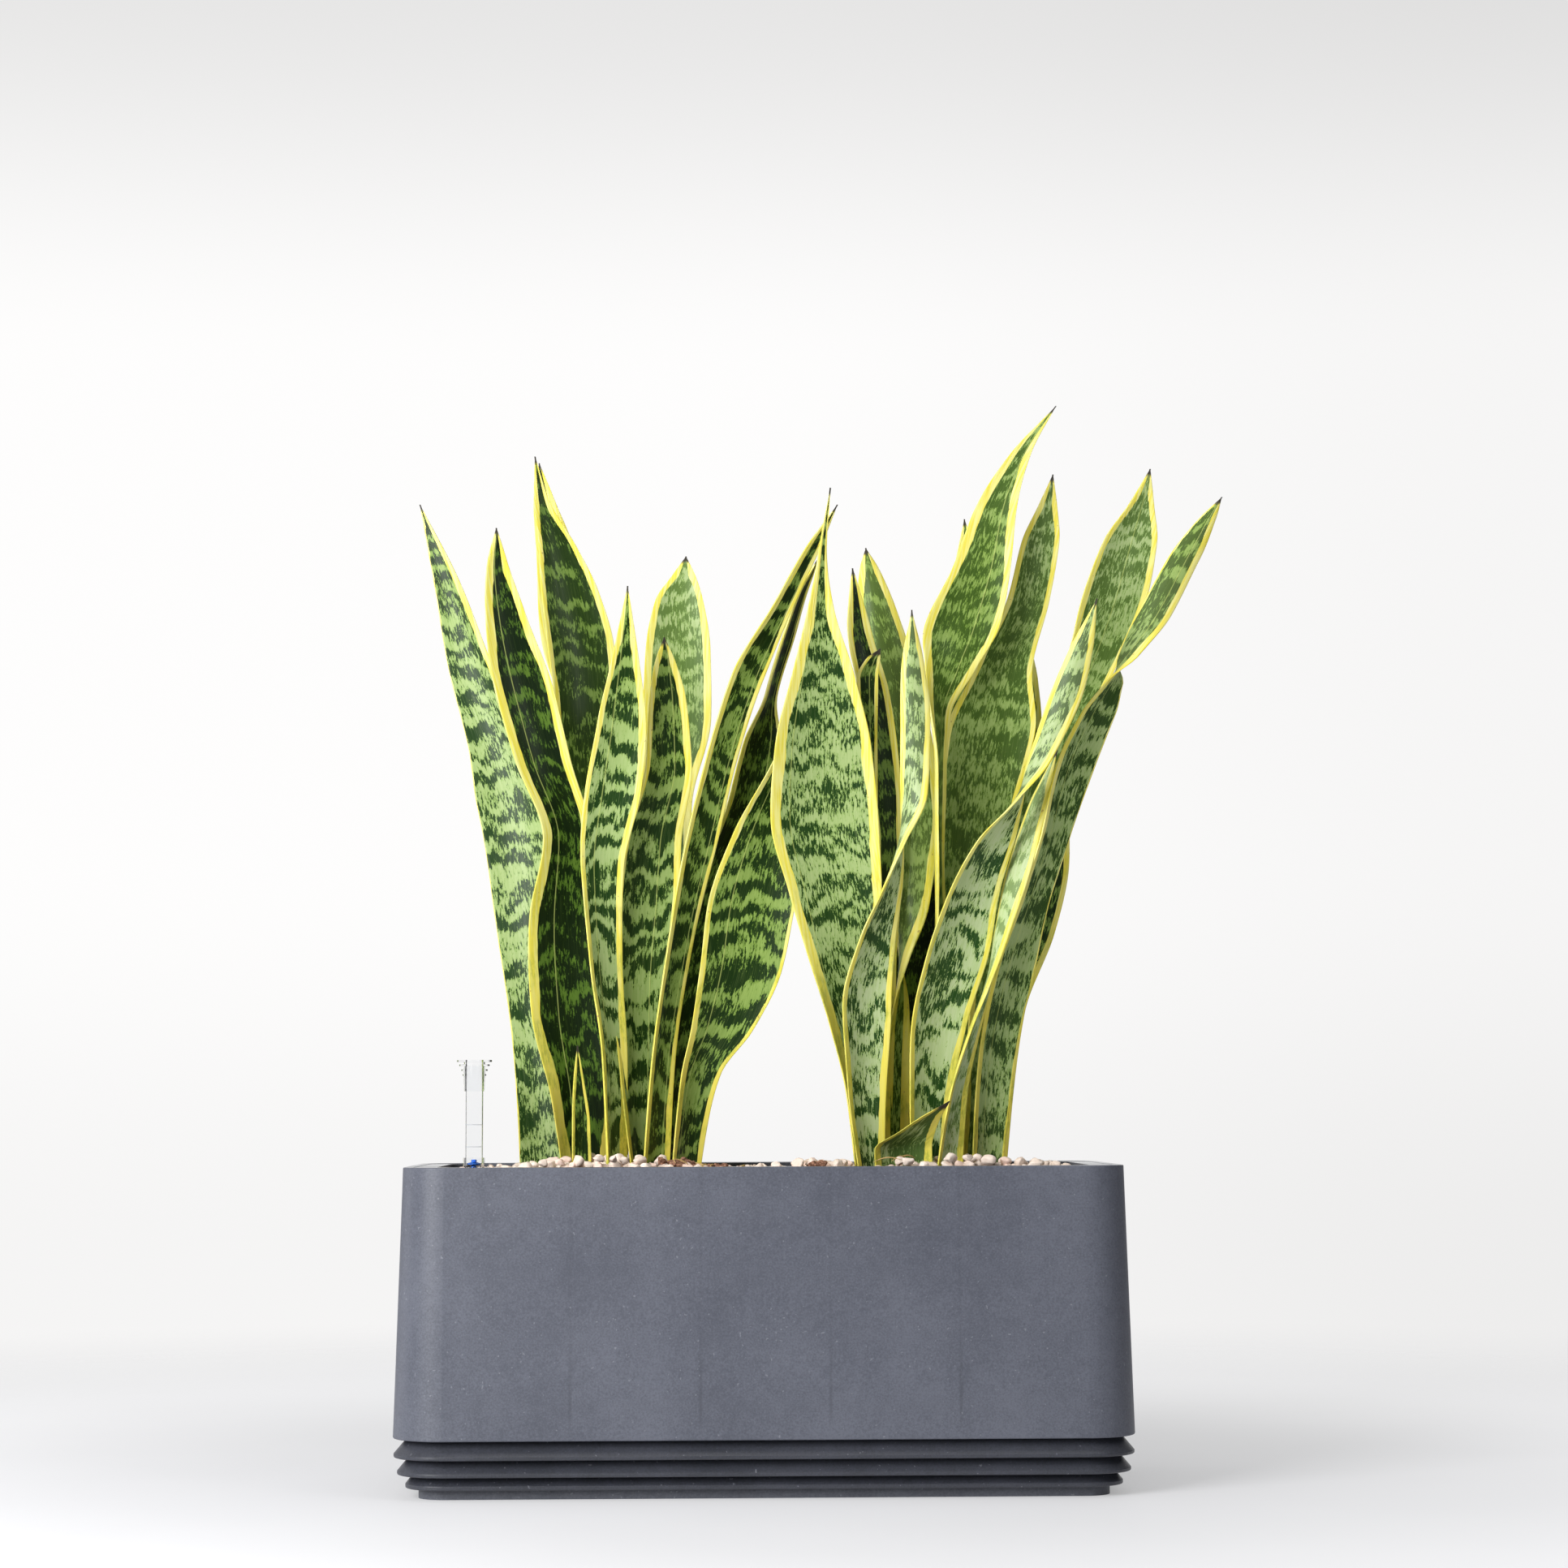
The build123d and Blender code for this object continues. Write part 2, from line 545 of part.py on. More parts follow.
def inner_liner():
    outside = liner_cavity(LINER_FLOOR_BOTTOM, LINER_FLANGE_TOP, -LINER_WALL)
    flange = block(
        LINER_FLANGE_BOTTOM, LINER_FLANGE_TOP,
        LINER_FLANGE_LENGTH, LINER_FLANGE_DEPTH, LINER_FLANGE_CORNER,
    )
    top_edge = flange.edges().group_by(Axis.Z)[-1]
    liner = outside + fillet(top_edge, LINER_EDGE_ROUND)
    liner -= liner_cavity(LINER_FLOOR_TOP, LINER_FLANGE_TOP)
    # openings in the floor for the wick baskets and the gauge
    for side in (-1, 1):
        hole = block(
            LINER_FLOOR_BOTTOM, LINER_FLOOR_TOP,
            BASKET_LENGTH, BASKET_DEPTH, BASKET_CORNER, -BASKET_HOLE_GAP,
        )
        liner -= Pos(side * BASKET_X, 0, 0) * hole
    liner -= upright(GAUGE_X, GAUGE_Y, LINER_FLOOR_BOTTOM, LINER_FLOOR_TOP, GROMMET_HOLE_RADIUS)
    # air and drain holes between the legs
    for x in DRAIN_HOLE_XS:
        for y in DRAIN_HOLE_YS:
            liner -= upright(x, y, LINER_FLOOR_BOTTOM, LINER_FLOOR_TOP, DRAIN_HOLE_RADIUS)
    return liner


# ---- wick baskets ----
def wick_basket(x):
    body = tapered(
        BASKET_BOTTOM, LINER_FLOOR_TOP,
        basket_outline(BASKET_BOTTOM), basket_outline(LINER_FLOOR_TOP),
    )
    body += block(
        LINER_FLOOR_TOP, LINER_FLOOR_TOP + BASKET_WALL,
        BASKET_LENGTH, BASKET_DEPTH, BASKET_CORNER, -BASKET_FLANGE,
    )
    body -= basket_cavity(BASKET_BOTTOM + BASKET_WALL, LINER_FLOOR_TOP + BASKET_WALL, BASKET_WALL)
    half = SLOT_WIDTH / 2
    for span in SLOT_SPANS:
        for offset in SIDE_SLOT_XS:
            body -= brick((offset - half, offset + half), (-BASKET_DEPTH, BASKET_DEPTH), span)
        for offset in END_SLOT_YS:
            body -= brick((-BASKET_LENGTH, BASKET_LENGTH), (offset - half, offset + half), span)
    floor_span = (BASKET_BOTTOM, BASKET_BOTTOM + BASKET_WALL)
    for offset in FLOOR_SLOT_XS:
        body -= brick(
            (offset - half, offset + half), (-FLOOR_SLOT_LENGTH / 2, FLOOR_SLOT_LENGTH / 2), floor_span,
        )
    return Pos(x, 0, 0) * body


def basket_cavity(bottom, top, inset):
    return tapered(bottom, top, basket_outline(bottom, inset), basket_outline(top, inset))


# ---- support legs ----
def support_legs():
    legs = []
    for x, y in LEG_PLACES:
        leg = upright(x, y, TUB_FLOOR_TOP, LINER_FLOOR_BOTTOM, LEG_DIAMETER / 2)
        leg -= upright(x, y, TUB_FLOOR_TOP, LINER_FLOOR_BOTTOM - LEG_CAP, LEG_DIAMETER / 2 - LEG_WALL)
        for turn in (0, 90):
            window = Rot(0, 0, turn) * Box(LEG_WINDOW_WIDTH, 2 * LEG_DIAMETER, LEG_WINDOW_HEIGHT)
            leg -= Pos(x, y, LEG_WINDOW_MIDDLE) * window
        legs.append(leg.solid())
    return Compound(children=legs)


# ---- soil and pebbles ----
def potting_soil():
    soil = liner_cavity(LINER_FLOOR_TOP + FILL_GAP, SOIL_TOP, FILL_GAP)
    rim = LINER_FLOOR_TOP + BASKET_WALL + FILL_GAP
    for side in (-1, 1):
        flange_room = block(
            LINER_FLOOR_TOP, rim,
            BASKET_LENGTH, BASKET_DEPTH, BASKET_CORNER, -BASKET_FLANGE - BASKET_FILL_GAP,
        )
        soil -= Pos(side * BASKET_X, 0, 0) * flange_room
        core = basket_cavity(BASKET_BOTTOM + BASKET_WALL + FILL_GAP, rim, BASKET_WALL + 2 * FILL_GAP)
        soil += Pos(side * BASKET_X, 0, 0) * core
    return soil - upright(GAUGE_X, GAUGE_Y, LINER_FLOOR_BOTTOM, PEBBLE_TOP, GROMMET_ROOM_RADIUS)


def pebble_mulch():
    layer = liner_cavity(SOIL_TOP, PEBBLE_TOP, FILL_GAP)
    return layer - upright(GAUGE_X, GAUGE_Y, SOIL_TOP, PEBBLE_TOP, GUIDE_DIAMETER / 2 + FILL_GAP)


# ---- plants ----
def blade_section(station):
    """One level section of a blade: a thin, slightly channelled lens between its margins."""
    height, x, y, width, turn = station
    width = max(width, LEAF_TIP)
    along = Vector(1, 0).rotate(Axis.Z, turn)
    across = along.rotate(Axis.Z, -90)
    left = Vector(x, y) - along * (width / 2)
    right = Vector(x, y) + along * (width / 2)
    middle = Vector(x, y) - across * (LEAF_CUP * width)
    edge = across * (min(LEAF_EDGE, width / 2) / 2)
    swell = across * (min(LEAF_THICKNESS, width) / 2)
    corners = (left + edge, middle + swell, right + edge, right - edge, middle - swell, left - edge)
    return Wire.make_polygon([(point.X, point.Y, height) for point in corners], close=True)


def plant(blades):
    leaves = [
        Solid.make_loft([blade_section(station) for station in stations], ruled=True)
        for stations in blades.values()
    ]
    return Compound(children=leaves)


# ---- water gauge ----
def gauge_column(bottom, top, diameter, bore=0.0):
    column = upright(GAUGE_X, GAUGE_Y, bottom, top, diameter / 2)
    if bore:
        column -= upright(GAUGE_X, GAUGE_Y, bottom, top, bore / 2)
    return column


def gauge_guide_pipe():
    return gauge_column(GUIDE_BOTTOM, GUIDE_TOP, GUIDE_DIAMETER, GUIDE_BORE)


def gauge_grommet():
    low = LINER_FLOOR_BOTTOM - GROMMET_LIP
    high = LINER_FLOOR_TOP + GROMMET_LIP
    ring = gauge_column(low, high, GROMMET_DIAMETER, GUIDE_DIAMETER)
    groove = gauge_column(
        LINER_FLOOR_BOTTOM, LINER_FLOOR_TOP, GROMMET_DIAMETER + GROMMET_LIP, 2 * GROMMET_HOLE_RADIUS,
    )
    return ring - groove


def gauge_tube():
    tube = gauge_column(TUBE_BOTTOM, TUBE_TOP, TUBE_DIAMETER, TUBE_BORE)
    half = TUBE_SLOT_WIDTH / 2
    past = TUBE_DIAMETER
    slots = brick((-half, half), (-past, past), TUBE_SLOT_SPAN)
    slots += brick((-past, past), (-half, half), TUBE_SLOT_SPAN)
    return tube - Pos(GAUGE_X, GAUGE_Y, 0) * slots


def gauge_collar():
    """The ribbed grip on the top of the tube, with an open mouth."""
    core = COLLAR_CORE_RADIUS
    points = [
        (TUBE_DIAMETER / 2, COLLAR_BOTTOM),
        (COLLAR_LOW_RADIUS, COLLAR_BOTTOM),
        (core, COLLAR_TOP - COLLAR_STRAIGHT),
    ]
    for radius, drop in COLLAR_RINGS:
        low = COLLAR_TOP - drop
        high = low + RING_THICKNESS
        points += [(core, low), (radius, low), (radius, high), (core, high)]
    mouth = COLLAR_TOP - MOUTH_THICKNESS
    points += [(core, mouth), (MOUTH_RADIUS, mouth), (MOUTH_RADIUS, COLLAR_TOP)]
    points += [(TUBE_BORE / 2, COLLAR_TOP), (TUBE_BORE / 2, TUBE_TOP), (TUBE_DIAMETER / 2, TUBE_TOP)]
    face = make_face(Plane.XZ * Polyline(*points, close=True))
    return Pos(GAUGE_X, GAUGE_Y, 0) * revolve(face, Axis.Z)


def gauge_foot():
    """The open end cap that water comes in through."""
    spigot_top = TUBE_BOTTOM + GAUGE_FOOT_SPIGOT
    cap = gauge_column(GAUGE_FOOT_BOTTOM, TUBE_BOTTOM, TUBE_DIAMETER)
    cap += gauge_column(TUBE_BOTTOM, spigot_top, TUBE_BORE)
    cap -= gauge_column(GAUGE_FOOT_BOTTOM + GAUGE_FOOT_WALL, spigot_top, GAUGE_FOOT_BORE)
    for turn in (0, 90):
        inlet = Rot(0, 0, turn) * Box(2 * TUBE_DIAMETER, INLET_SIZE, INLET_SIZE)
        cap -= Pos(GAUGE_X, GAUGE_Y, GAUGE_FOOT_BOTTOM + 2 * GAUGE_FOOT_WALL) * inlet
    return cap


def float_pointer():
    radius = POINTER_DIAMETER / 2
    hub = POINTER_HUB_DIAMETER / 2
    half = POINTER_THICKNESS / 2
    half_hub = POINTER_HUB_LENGTH / 2
    half_rim = POINTER_RIM_THICKNESS / 2
    bore = ROD_DIAMETER / 2
    points = [
        (bore, -half_hub), (hub, -half_hub), (hub, -half), (radius, -half_rim), (radius, half_rim),
        (hub, half), (hub, half_hub), (0, half_hub), (0, 0), (bore, 0),
    ]
    face = make_face(Plane.XZ * Polyline(*points, close=True))
    return Pos(GAUGE_X, GAUGE_Y, POINTER_HEIGHT) * revolve(face, Axis.Z)


def float_rod():
    return gauge_column(FLOAT_TOP - ROD_DEPTH, POINTER_HEIGHT, ROD_DIAMETER)


def float_body():
    body = gauge_column(FLOAT_BOTTOM, FLOAT_TOP, FLOAT_DIAMETER)
    body = chamfer(body.edges().filter_by(GeomType.CIRCLE), FLOAT_CHAMFER)
    return body - gauge_column(FLOAT_TOP - ROD_DEPTH, FLOAT_TOP, ROD_DIAMETER)


# ---- the assembly ----
parts = {
    "outer_shell": outer_shell(),
    "reservoir_tub": reservoir_tub(),
    "drain_plug": drain_plug(),
    "drain_plug_seal": drain_plug_seal(),
    "inner_liner": inner_liner(),
    "wick_basket_left": wick_basket(-BASKET_X),
    "wick_basket_right": wick_basket(BASKET_X),
    "support_legs": support_legs(),
    "potting_soil": potting_soil(),
    "pebble_mulch": pebble_mulch(),
    "snake_plant_left": plant(LEFT_PLANT),
    "snake_plant_right": plant(RIGHT_PLANT),
    "gauge_guide_pipe": gauge_guide_pipe(),
    "gauge_grommet": gauge_grommet(),
    "gauge_tube": gauge_tube(),
    "gauge_collar": gauge_collar(),
    "gauge_foot": gauge_foot(),
    "float_pointer": float_pointer(),
    "float_rod": float_rod(),
    "float_body": float_body(),
}
for name, sizes in LOUVRES.items():
    parts["louvre_ring_" + name] = louvre_ring(*sizes)

for name, shape in parts.items():
    export_step(shape, "parts/" + name + ".step")
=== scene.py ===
import math
import random

import bmesh
import bpy
import numpy as np
from mathutils import Matrix, Vector, noise


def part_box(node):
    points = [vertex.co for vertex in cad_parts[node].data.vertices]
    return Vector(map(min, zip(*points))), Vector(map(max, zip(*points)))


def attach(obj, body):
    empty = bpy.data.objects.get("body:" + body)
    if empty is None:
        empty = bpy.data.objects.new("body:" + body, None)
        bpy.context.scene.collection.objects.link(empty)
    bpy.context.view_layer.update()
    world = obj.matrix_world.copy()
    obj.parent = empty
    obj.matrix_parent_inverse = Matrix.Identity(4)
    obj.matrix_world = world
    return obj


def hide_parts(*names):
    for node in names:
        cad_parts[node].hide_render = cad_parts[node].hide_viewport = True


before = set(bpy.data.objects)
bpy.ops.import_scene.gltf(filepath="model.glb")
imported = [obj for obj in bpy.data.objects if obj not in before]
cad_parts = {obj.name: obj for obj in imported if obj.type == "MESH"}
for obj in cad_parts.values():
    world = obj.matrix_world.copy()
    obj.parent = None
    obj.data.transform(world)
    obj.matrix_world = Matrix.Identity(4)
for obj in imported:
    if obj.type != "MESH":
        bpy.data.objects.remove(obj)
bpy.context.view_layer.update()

# Self watering planter. Metres, +Z up, -Y is the long front, as in the CAD frame.
# Blade stations are in millimetres, as they are in part.py.
MM = 0.001

# ---- sizes the pieces share with the CAD part ----
OPENING_LENGTH, OPENING_DEPTH, OPENING_CORNER = 0.533, 0.183, 0.019
LINER_DRAFT = 0.0045
LINER_FLOOR = 0.0032  # the mix's underside above the liner's lowest face
BASKET_DRAFT = 0.005
BASKET_TRIM = 0.0268  # from a basket's flange to the outline of its core, at the bottom
GAUGE_X, GAUGE_Y, PIPE_RADIUS = -0.238, -0.055, 0.0088
PIPE_ROOM = PIPE_RADIUS + 0.0006
GROMMET_ROOM, GROMMET_TOP = 0.0134, 0.0895
RIB_PITCH = 0.104  # between the sink marks that the inner ribs leave on the shell

# ---- camera, light and background ----
CAMERA_PLACE = (-0.0545, -2.7751, 0.3112)
CAMERA_ANGLES = (1.526, 5.631, -0.196)  # turned right, pitched up, rolled
CAMERA_LENS, CAMERA_SENSOR = 75.34, 36.0
# ramps of light over a direction: from, to, and the strengths there
BACK_HIGH = (0.22, 0.34, 0.99, 0.79)
BACK_LOW = (-0.045, 0.075, 0.925, 1.0)
BACK_RIGHT = (0.0, 0.26, 1.0, 0.93)
BACK_EDGE = (0.86, 0.94, 0.05, 1.0)
BACK_WALL = (0.80, 0.93, 0.0, 0.975)
ROOM_FILL = (-0.9, 0.9, 0.06, 0.46)
BACK_WAY, ROOM_WAY = (0.0, 1.0, 0.12), (-0.75, 0.55, 0.35)
BACK_TINT = (1.0, 0.994, 0.99)
FLOOR_RADIUS, FLOOR_SIDES = 7.0, 48
# ramps over the floor: two by distance from the planter, and one from left to right; the last two set the
# floor's own glow, which is painted light, weaker near the planter as painted shade round its foot
FLOOR_FADE = (0.9, 2.2, 1.0, 0.0)
FLOOR_AWAY = (0.30, 1.15, 0.82, 1.28)
FLOOR_GLOW = (-1.0, 1.0, 0.42, 0.44)
# name: place, aim, size and power
LAMPS = {
    "key": ((-1.2, -1.5, 0.95), (0.0, 0.0, 0.42), (1.0, 1.2), 52.0),
    "right_high": ((0.95, -1.05, 1.25), (0.2, 0.0, 0.6), (0.5, 0.5), 4.0),
    "left_side": ((-1.9, 0.5, 0.7), (0.0, 0.0, 0.4), (1.0, 1.4), 5.0),
    "top": ((0.2, -0.3, 2.4), (0.0, 0.0, 0.3), (2.0, 1.4), 12.0),
}

# ---- pebbles and mix ----
# x, and the height of the pebbles there
MULCH_PROFILE = (
    (-0.268, 0.2560), (-0.200, 0.2620), (-0.140, 0.2685), (-0.090, 0.2670), (-0.045, 0.2585),
    (-0.010, 0.2590), (0.030, 0.2620), (0.080, 0.2635), (0.150, 0.2670), (0.200, 0.2655),
    (0.238, 0.2620), (0.268, 0.2555),
)
PEBBLE_SIZES = (0.0095, 0.0165, 0.0125)  # least, most and usual
PEBBLE_SINK = 0.34  # a pebble's middle under the surface, as a share of its size
# tries, how close two pebbles may lie as a share of their size, and height over the mulch
PEBBLE_LAYERS = ((5200, 0.80, 0.0), (2600, 0.95, 0.0055))
STONE_FLATS = 10
FOOT_LEVEL = 258.0  # millimetres, where the blades pass through the pebbles
MIX_DEPTH = 0.0115  # from the top of the pebbles down to the mix
CRUMB_SIZES = (0.003, 0.012, 0.005)
CRUMB_HEAPS = (  # x, y, reach and count
    (-0.062, -0.066, 0.008, 210), (-0.036, -0.068, 0.009, 60), (0.046, -0.074, 0.0025, 16),
)
ROOT_PLACES = ((-0.040, -0.070, 9), (0.112, -0.074, 3))  # x, y and count
ROOT_RADIUS, ROOT_STEPS = 0.0006, 12

# ---- level lines on the gauge tube ----
LEVEL_LINES = (0.280, 0.298)
LINE_SECTION = ((-0.00005, -0.0002), (0.0002, -0.0002), (0.0002, 0.0002), (-0.00005, 0.0002))  # out and up
LINE_START, LINE_TURN, LINE_STEPS = 1.08, 0.84, 28  # half turns round the tube

# ---- blades, in millimetres ----
CUP, CUP_LOW = 0.12, 0.10  # hollow across a blade as a share of its width, and more near its foot
CUP_LOW_REACH = 200.0
BLADE_THICK = 4.0
BLADE_EDGE = 1.2
TIP_WIDTH = 1.2
BLADE_ROW, BLADE_ROWS_LEAST = 5.0, 24
BLADE_COLUMNS = 16
TIP_CROWDING = 1.25  # above 1, rows lie closer together towards the tip
RIPPLE_LENGTH = 33.0
LEAF_FACTS = ("across", "along", "half_width", "tone", "seed", "margin", "to_tip", "back", "crease",
              "banding", "depth")

# How each blade looks: tone from pale 0 to dark 1, the yellow margins on its left and
# right, how much they ripple, where a pale crease runs, from -1 to 1 across it, how
# regular its bands are and how dark they get. Tone is partly the blade's own green and
# partly painted light and shade, set per blade to even out how brightly each one is lit;
# band darkness also decides whether the tip is painted paler or darker.
NONE = 3.0
LEFT_LOOKS = {
    "outer_left": (0.30, 0.7, 6.5, 0.5, NONE, 0.19, 1.00),
    "dark_front": (1.00, 9.0, 6.5, 1.0, -0.30, 0.19, 1.00),
    "tall_back": (0.72, 4.5, 6.5, 0.8, NONE, 0.19, 0.85),
    "rear_back": (0.85, 5.0, 5.0, 0.8, NONE, 0.19, 1.00),
    "centre_front": (0.30, 4.0, 6.0, 0.8, -0.35, 0.32, 1.00),
    "centre_right": (0.40, 4.0, 6.5, 0.8, 0.30, 0.28, 1.00),
    "broad_back": (0.42, 6.5, 6.5, 0.8, NONE, 0.19, 0.55),
    "leaning_right": (0.62, 5.5, 3.5, 0.6, 0.55, 0.27, 1.00),
    "edge_on": (0.85, 5.0, 3.0, 0.6, 0.50, 0.15, 1.00),
    "broad_right": (0.58, 5.0, 3.0, 0.8, -0.45, 0.23, 1.00),
    "short_sheath": (0.60, 2.0, 2.0, 0.2, NONE, 0.15, 1.00),
}
RIGHT_LOOKS = {
    "great_front": (0.27, 10.0, 8.0, 1.2, -0.62, 0.13, 1.00),
    "twisted_front": (0.04, 4.5, 4.5, 0.8, NONE, 0.19, 1.00),
    "middle_back": (0.45, 6.5, 6.5, 0.8, NONE, 0.10, 0.75),
    "deep_middle": (1.00, 3.0, 3.0, 0.4, NONE, 0.10, 1.00),
    "dark_middle": (0.80, 4.5, 5.5, 0.6, NONE, 0.15, 1.00),
    "small_side": (0.42, 3.0, 3.0, 0.4, 0.2, 0.15, 1.00),
    "tallest": (0.56, 8.5, 6.0, 0.8, 0.35, 0.08, 0.65),
    "behind_tallest": (0.60, 5.0, 5.0, 0.8, NONE, 0.10, 0.60),
    "broad_middle": (0.42, 5.5, 4.5, 0.8, NONE, 0.08, 0.65),
    "behind_broad": (0.60, 5.0, 5.0, 0.8, NONE, 0.10, 0.60),
    "right_back": (0.38, 5.5, 5.0, 0.8, 0.1, 0.10, 0.60),
    "twisted_right": (0.00, 4.5, 4.5, 0.8, NONE, 0.23, 1.00),
    "outer_right": (0.28, 6.5, 1.2, 0.8, -0.2, 0.15, 0.90),
    "behind_outer_right": (0.55, 5.0, 5.0, 0.6, NONE, 0.11, 1.00),
    "low_twist": (0.00, 4.0, 4.0, 0.6, NONE, 0.15, 0.60),
    "short_bent": (0.10, 5.0, 5.0, 0.4, NONE, 0.15, 0.75),
}

# Each blade runs up from below the pebbles. A station is (height, x, y, width, turn):
# the middle of the blade, its width, and the way it faces in degrees anticlockwise
# from the front. Past 90 degrees the blade shows its back.
LEFT_PLANT = {
    "outer_left": [
        (230, -178, 16, 50, -12), (360, -186, 21, 52, -18), (500, -200, 30, 66, -18),
        (570, -212, 38, 66, -16), (620, -226, 43, 53, -16), (690, -250, 51, 41, -15),
        (770, -273, 60, 23, -15), (838, -297, 70, 0, -15),
    ],
    "dark_front": [
        (230, -146, -6, 36, 20), (320, -150, -14, 56, 18), (390, -158, -21, 72, 17),
        (470, -163, -27, 66, 19), (535, -163, -30, 44, 23), (600, -183, -38, 50, 25),
        (660, -199, -40, 52, 21), (730, -216, -43, 34, 20), (770, -222, -44, 17, 25),
        (797, -223, -45, 0, 25),
    ],
    "tall_back": [
        (230, -128, 26, 24, 20), (425, -136, 36, 44, 15), (560, -146, 43, 54, 15),
        (650, -150, 46, 56, 20), (710, -155, 53, 60, 19), (760, -165, 54, 51, 17),
        (800, -176, 56, 34, 19), (840, -190, 58, 14, 20), (879, -196, 60, 0, 20),
    ],
    "rear_back": [
        (230, -126, 46, 27, 0), (430, -136, 60, 38, 0), (570, -142, 72, 38, -3),
        (640, -151, 77, 33, 0), (720, -169, 83, 44, 0), (800, -179, 89, 34, 3),
        (850, -190, 93, 17, 5), (880, -194, 95, 0, 5),
    ],
    "centre_front": [
        (230, -120, -34, 28, 58), (355, -123, -40, 31, 52), (430, -130, -46, 34, 38),
        (510, -133, -54, 38, 23), (575, -124, -59, 47, 12), (630, -117, -64, 41, 11),
        (680, -114, -69, 24, 13), (743, -112, -75, 0, 13),
    ],
    "centre_right": [
        (230, -95, -18, 30, 50), (340, -99, -20, 48, 34), (410, -100, -22, 56, 25),
        (485, -95, -23, 54, 20), (535, -91, -27, 50, 20), (600, -78, -32, 41, 20),
        (655, -79, -34, 32, 22), (685, -81, -36, 18, 24), (705, -82, -40, 0, 24),
    ],
    "broad_back": [
        (230, -82, 34, 26, 0), (430, -82, 47, 42, 0), (570, -82, 60, 46, 0),
        (650, -72, 69, 60, 2), (710, -71, 76, 57, 2), (755, -70, 80, 42, 2),
        (778, -66, 83, 20, 0), (795, -64, 85, 0, 0),
    ],
    "leaning_right": [
        (230, -90, -38, 32, 49), (345, -83, -36, 29, 49), (450, -68, -32, 29, 45),
        (545, -48, -29, 32, 34), (610, -32, -27, 31, 31), (675, -11, -25, 31, 27),
        (735, 19, -24, 20, 31), (780, 42, -24, 15, 30), (821, 65, -25, 0, 30),
    ],
    "edge_on": [
        (230, -72, 2, 36, 30), (355, -64, 5, 46, 26), (430, -50, 7, 52, 24),
        (500, -34, 8, 48, 24), (565, -10, 8, 44, 26), (620, 1, 9, 37, 31),
        (665, 10, 10, 24, 68), (715, 25, 11, 22, 63), (750, 36, 10, 16, 63),
        (781, 50, 10, 0, 60),
    ],
    "broad_right": [
        (230, -67, -23, 31, 45), (305, -58, -24, 34, 40), (340, -51, -26, 38, 32),
        (375, -34, -29, 54, 17), (425, -18, -31, 70, 10), (480, -9, -31, 74, 8),
        (540, 5, -32, 59, 10), (600, 24, -32, 32, 18), (655, 38, -33, 14, 25),
        (696, 42, -35, 0, 25),
    ],
    "short_sheath": [
        (230, -150, -30, 18, 27), (300, -151, -32, 16, 27), (335, -153, -34, 9, 27),
        (363, -154, -36, 0, 27),
    ],
}
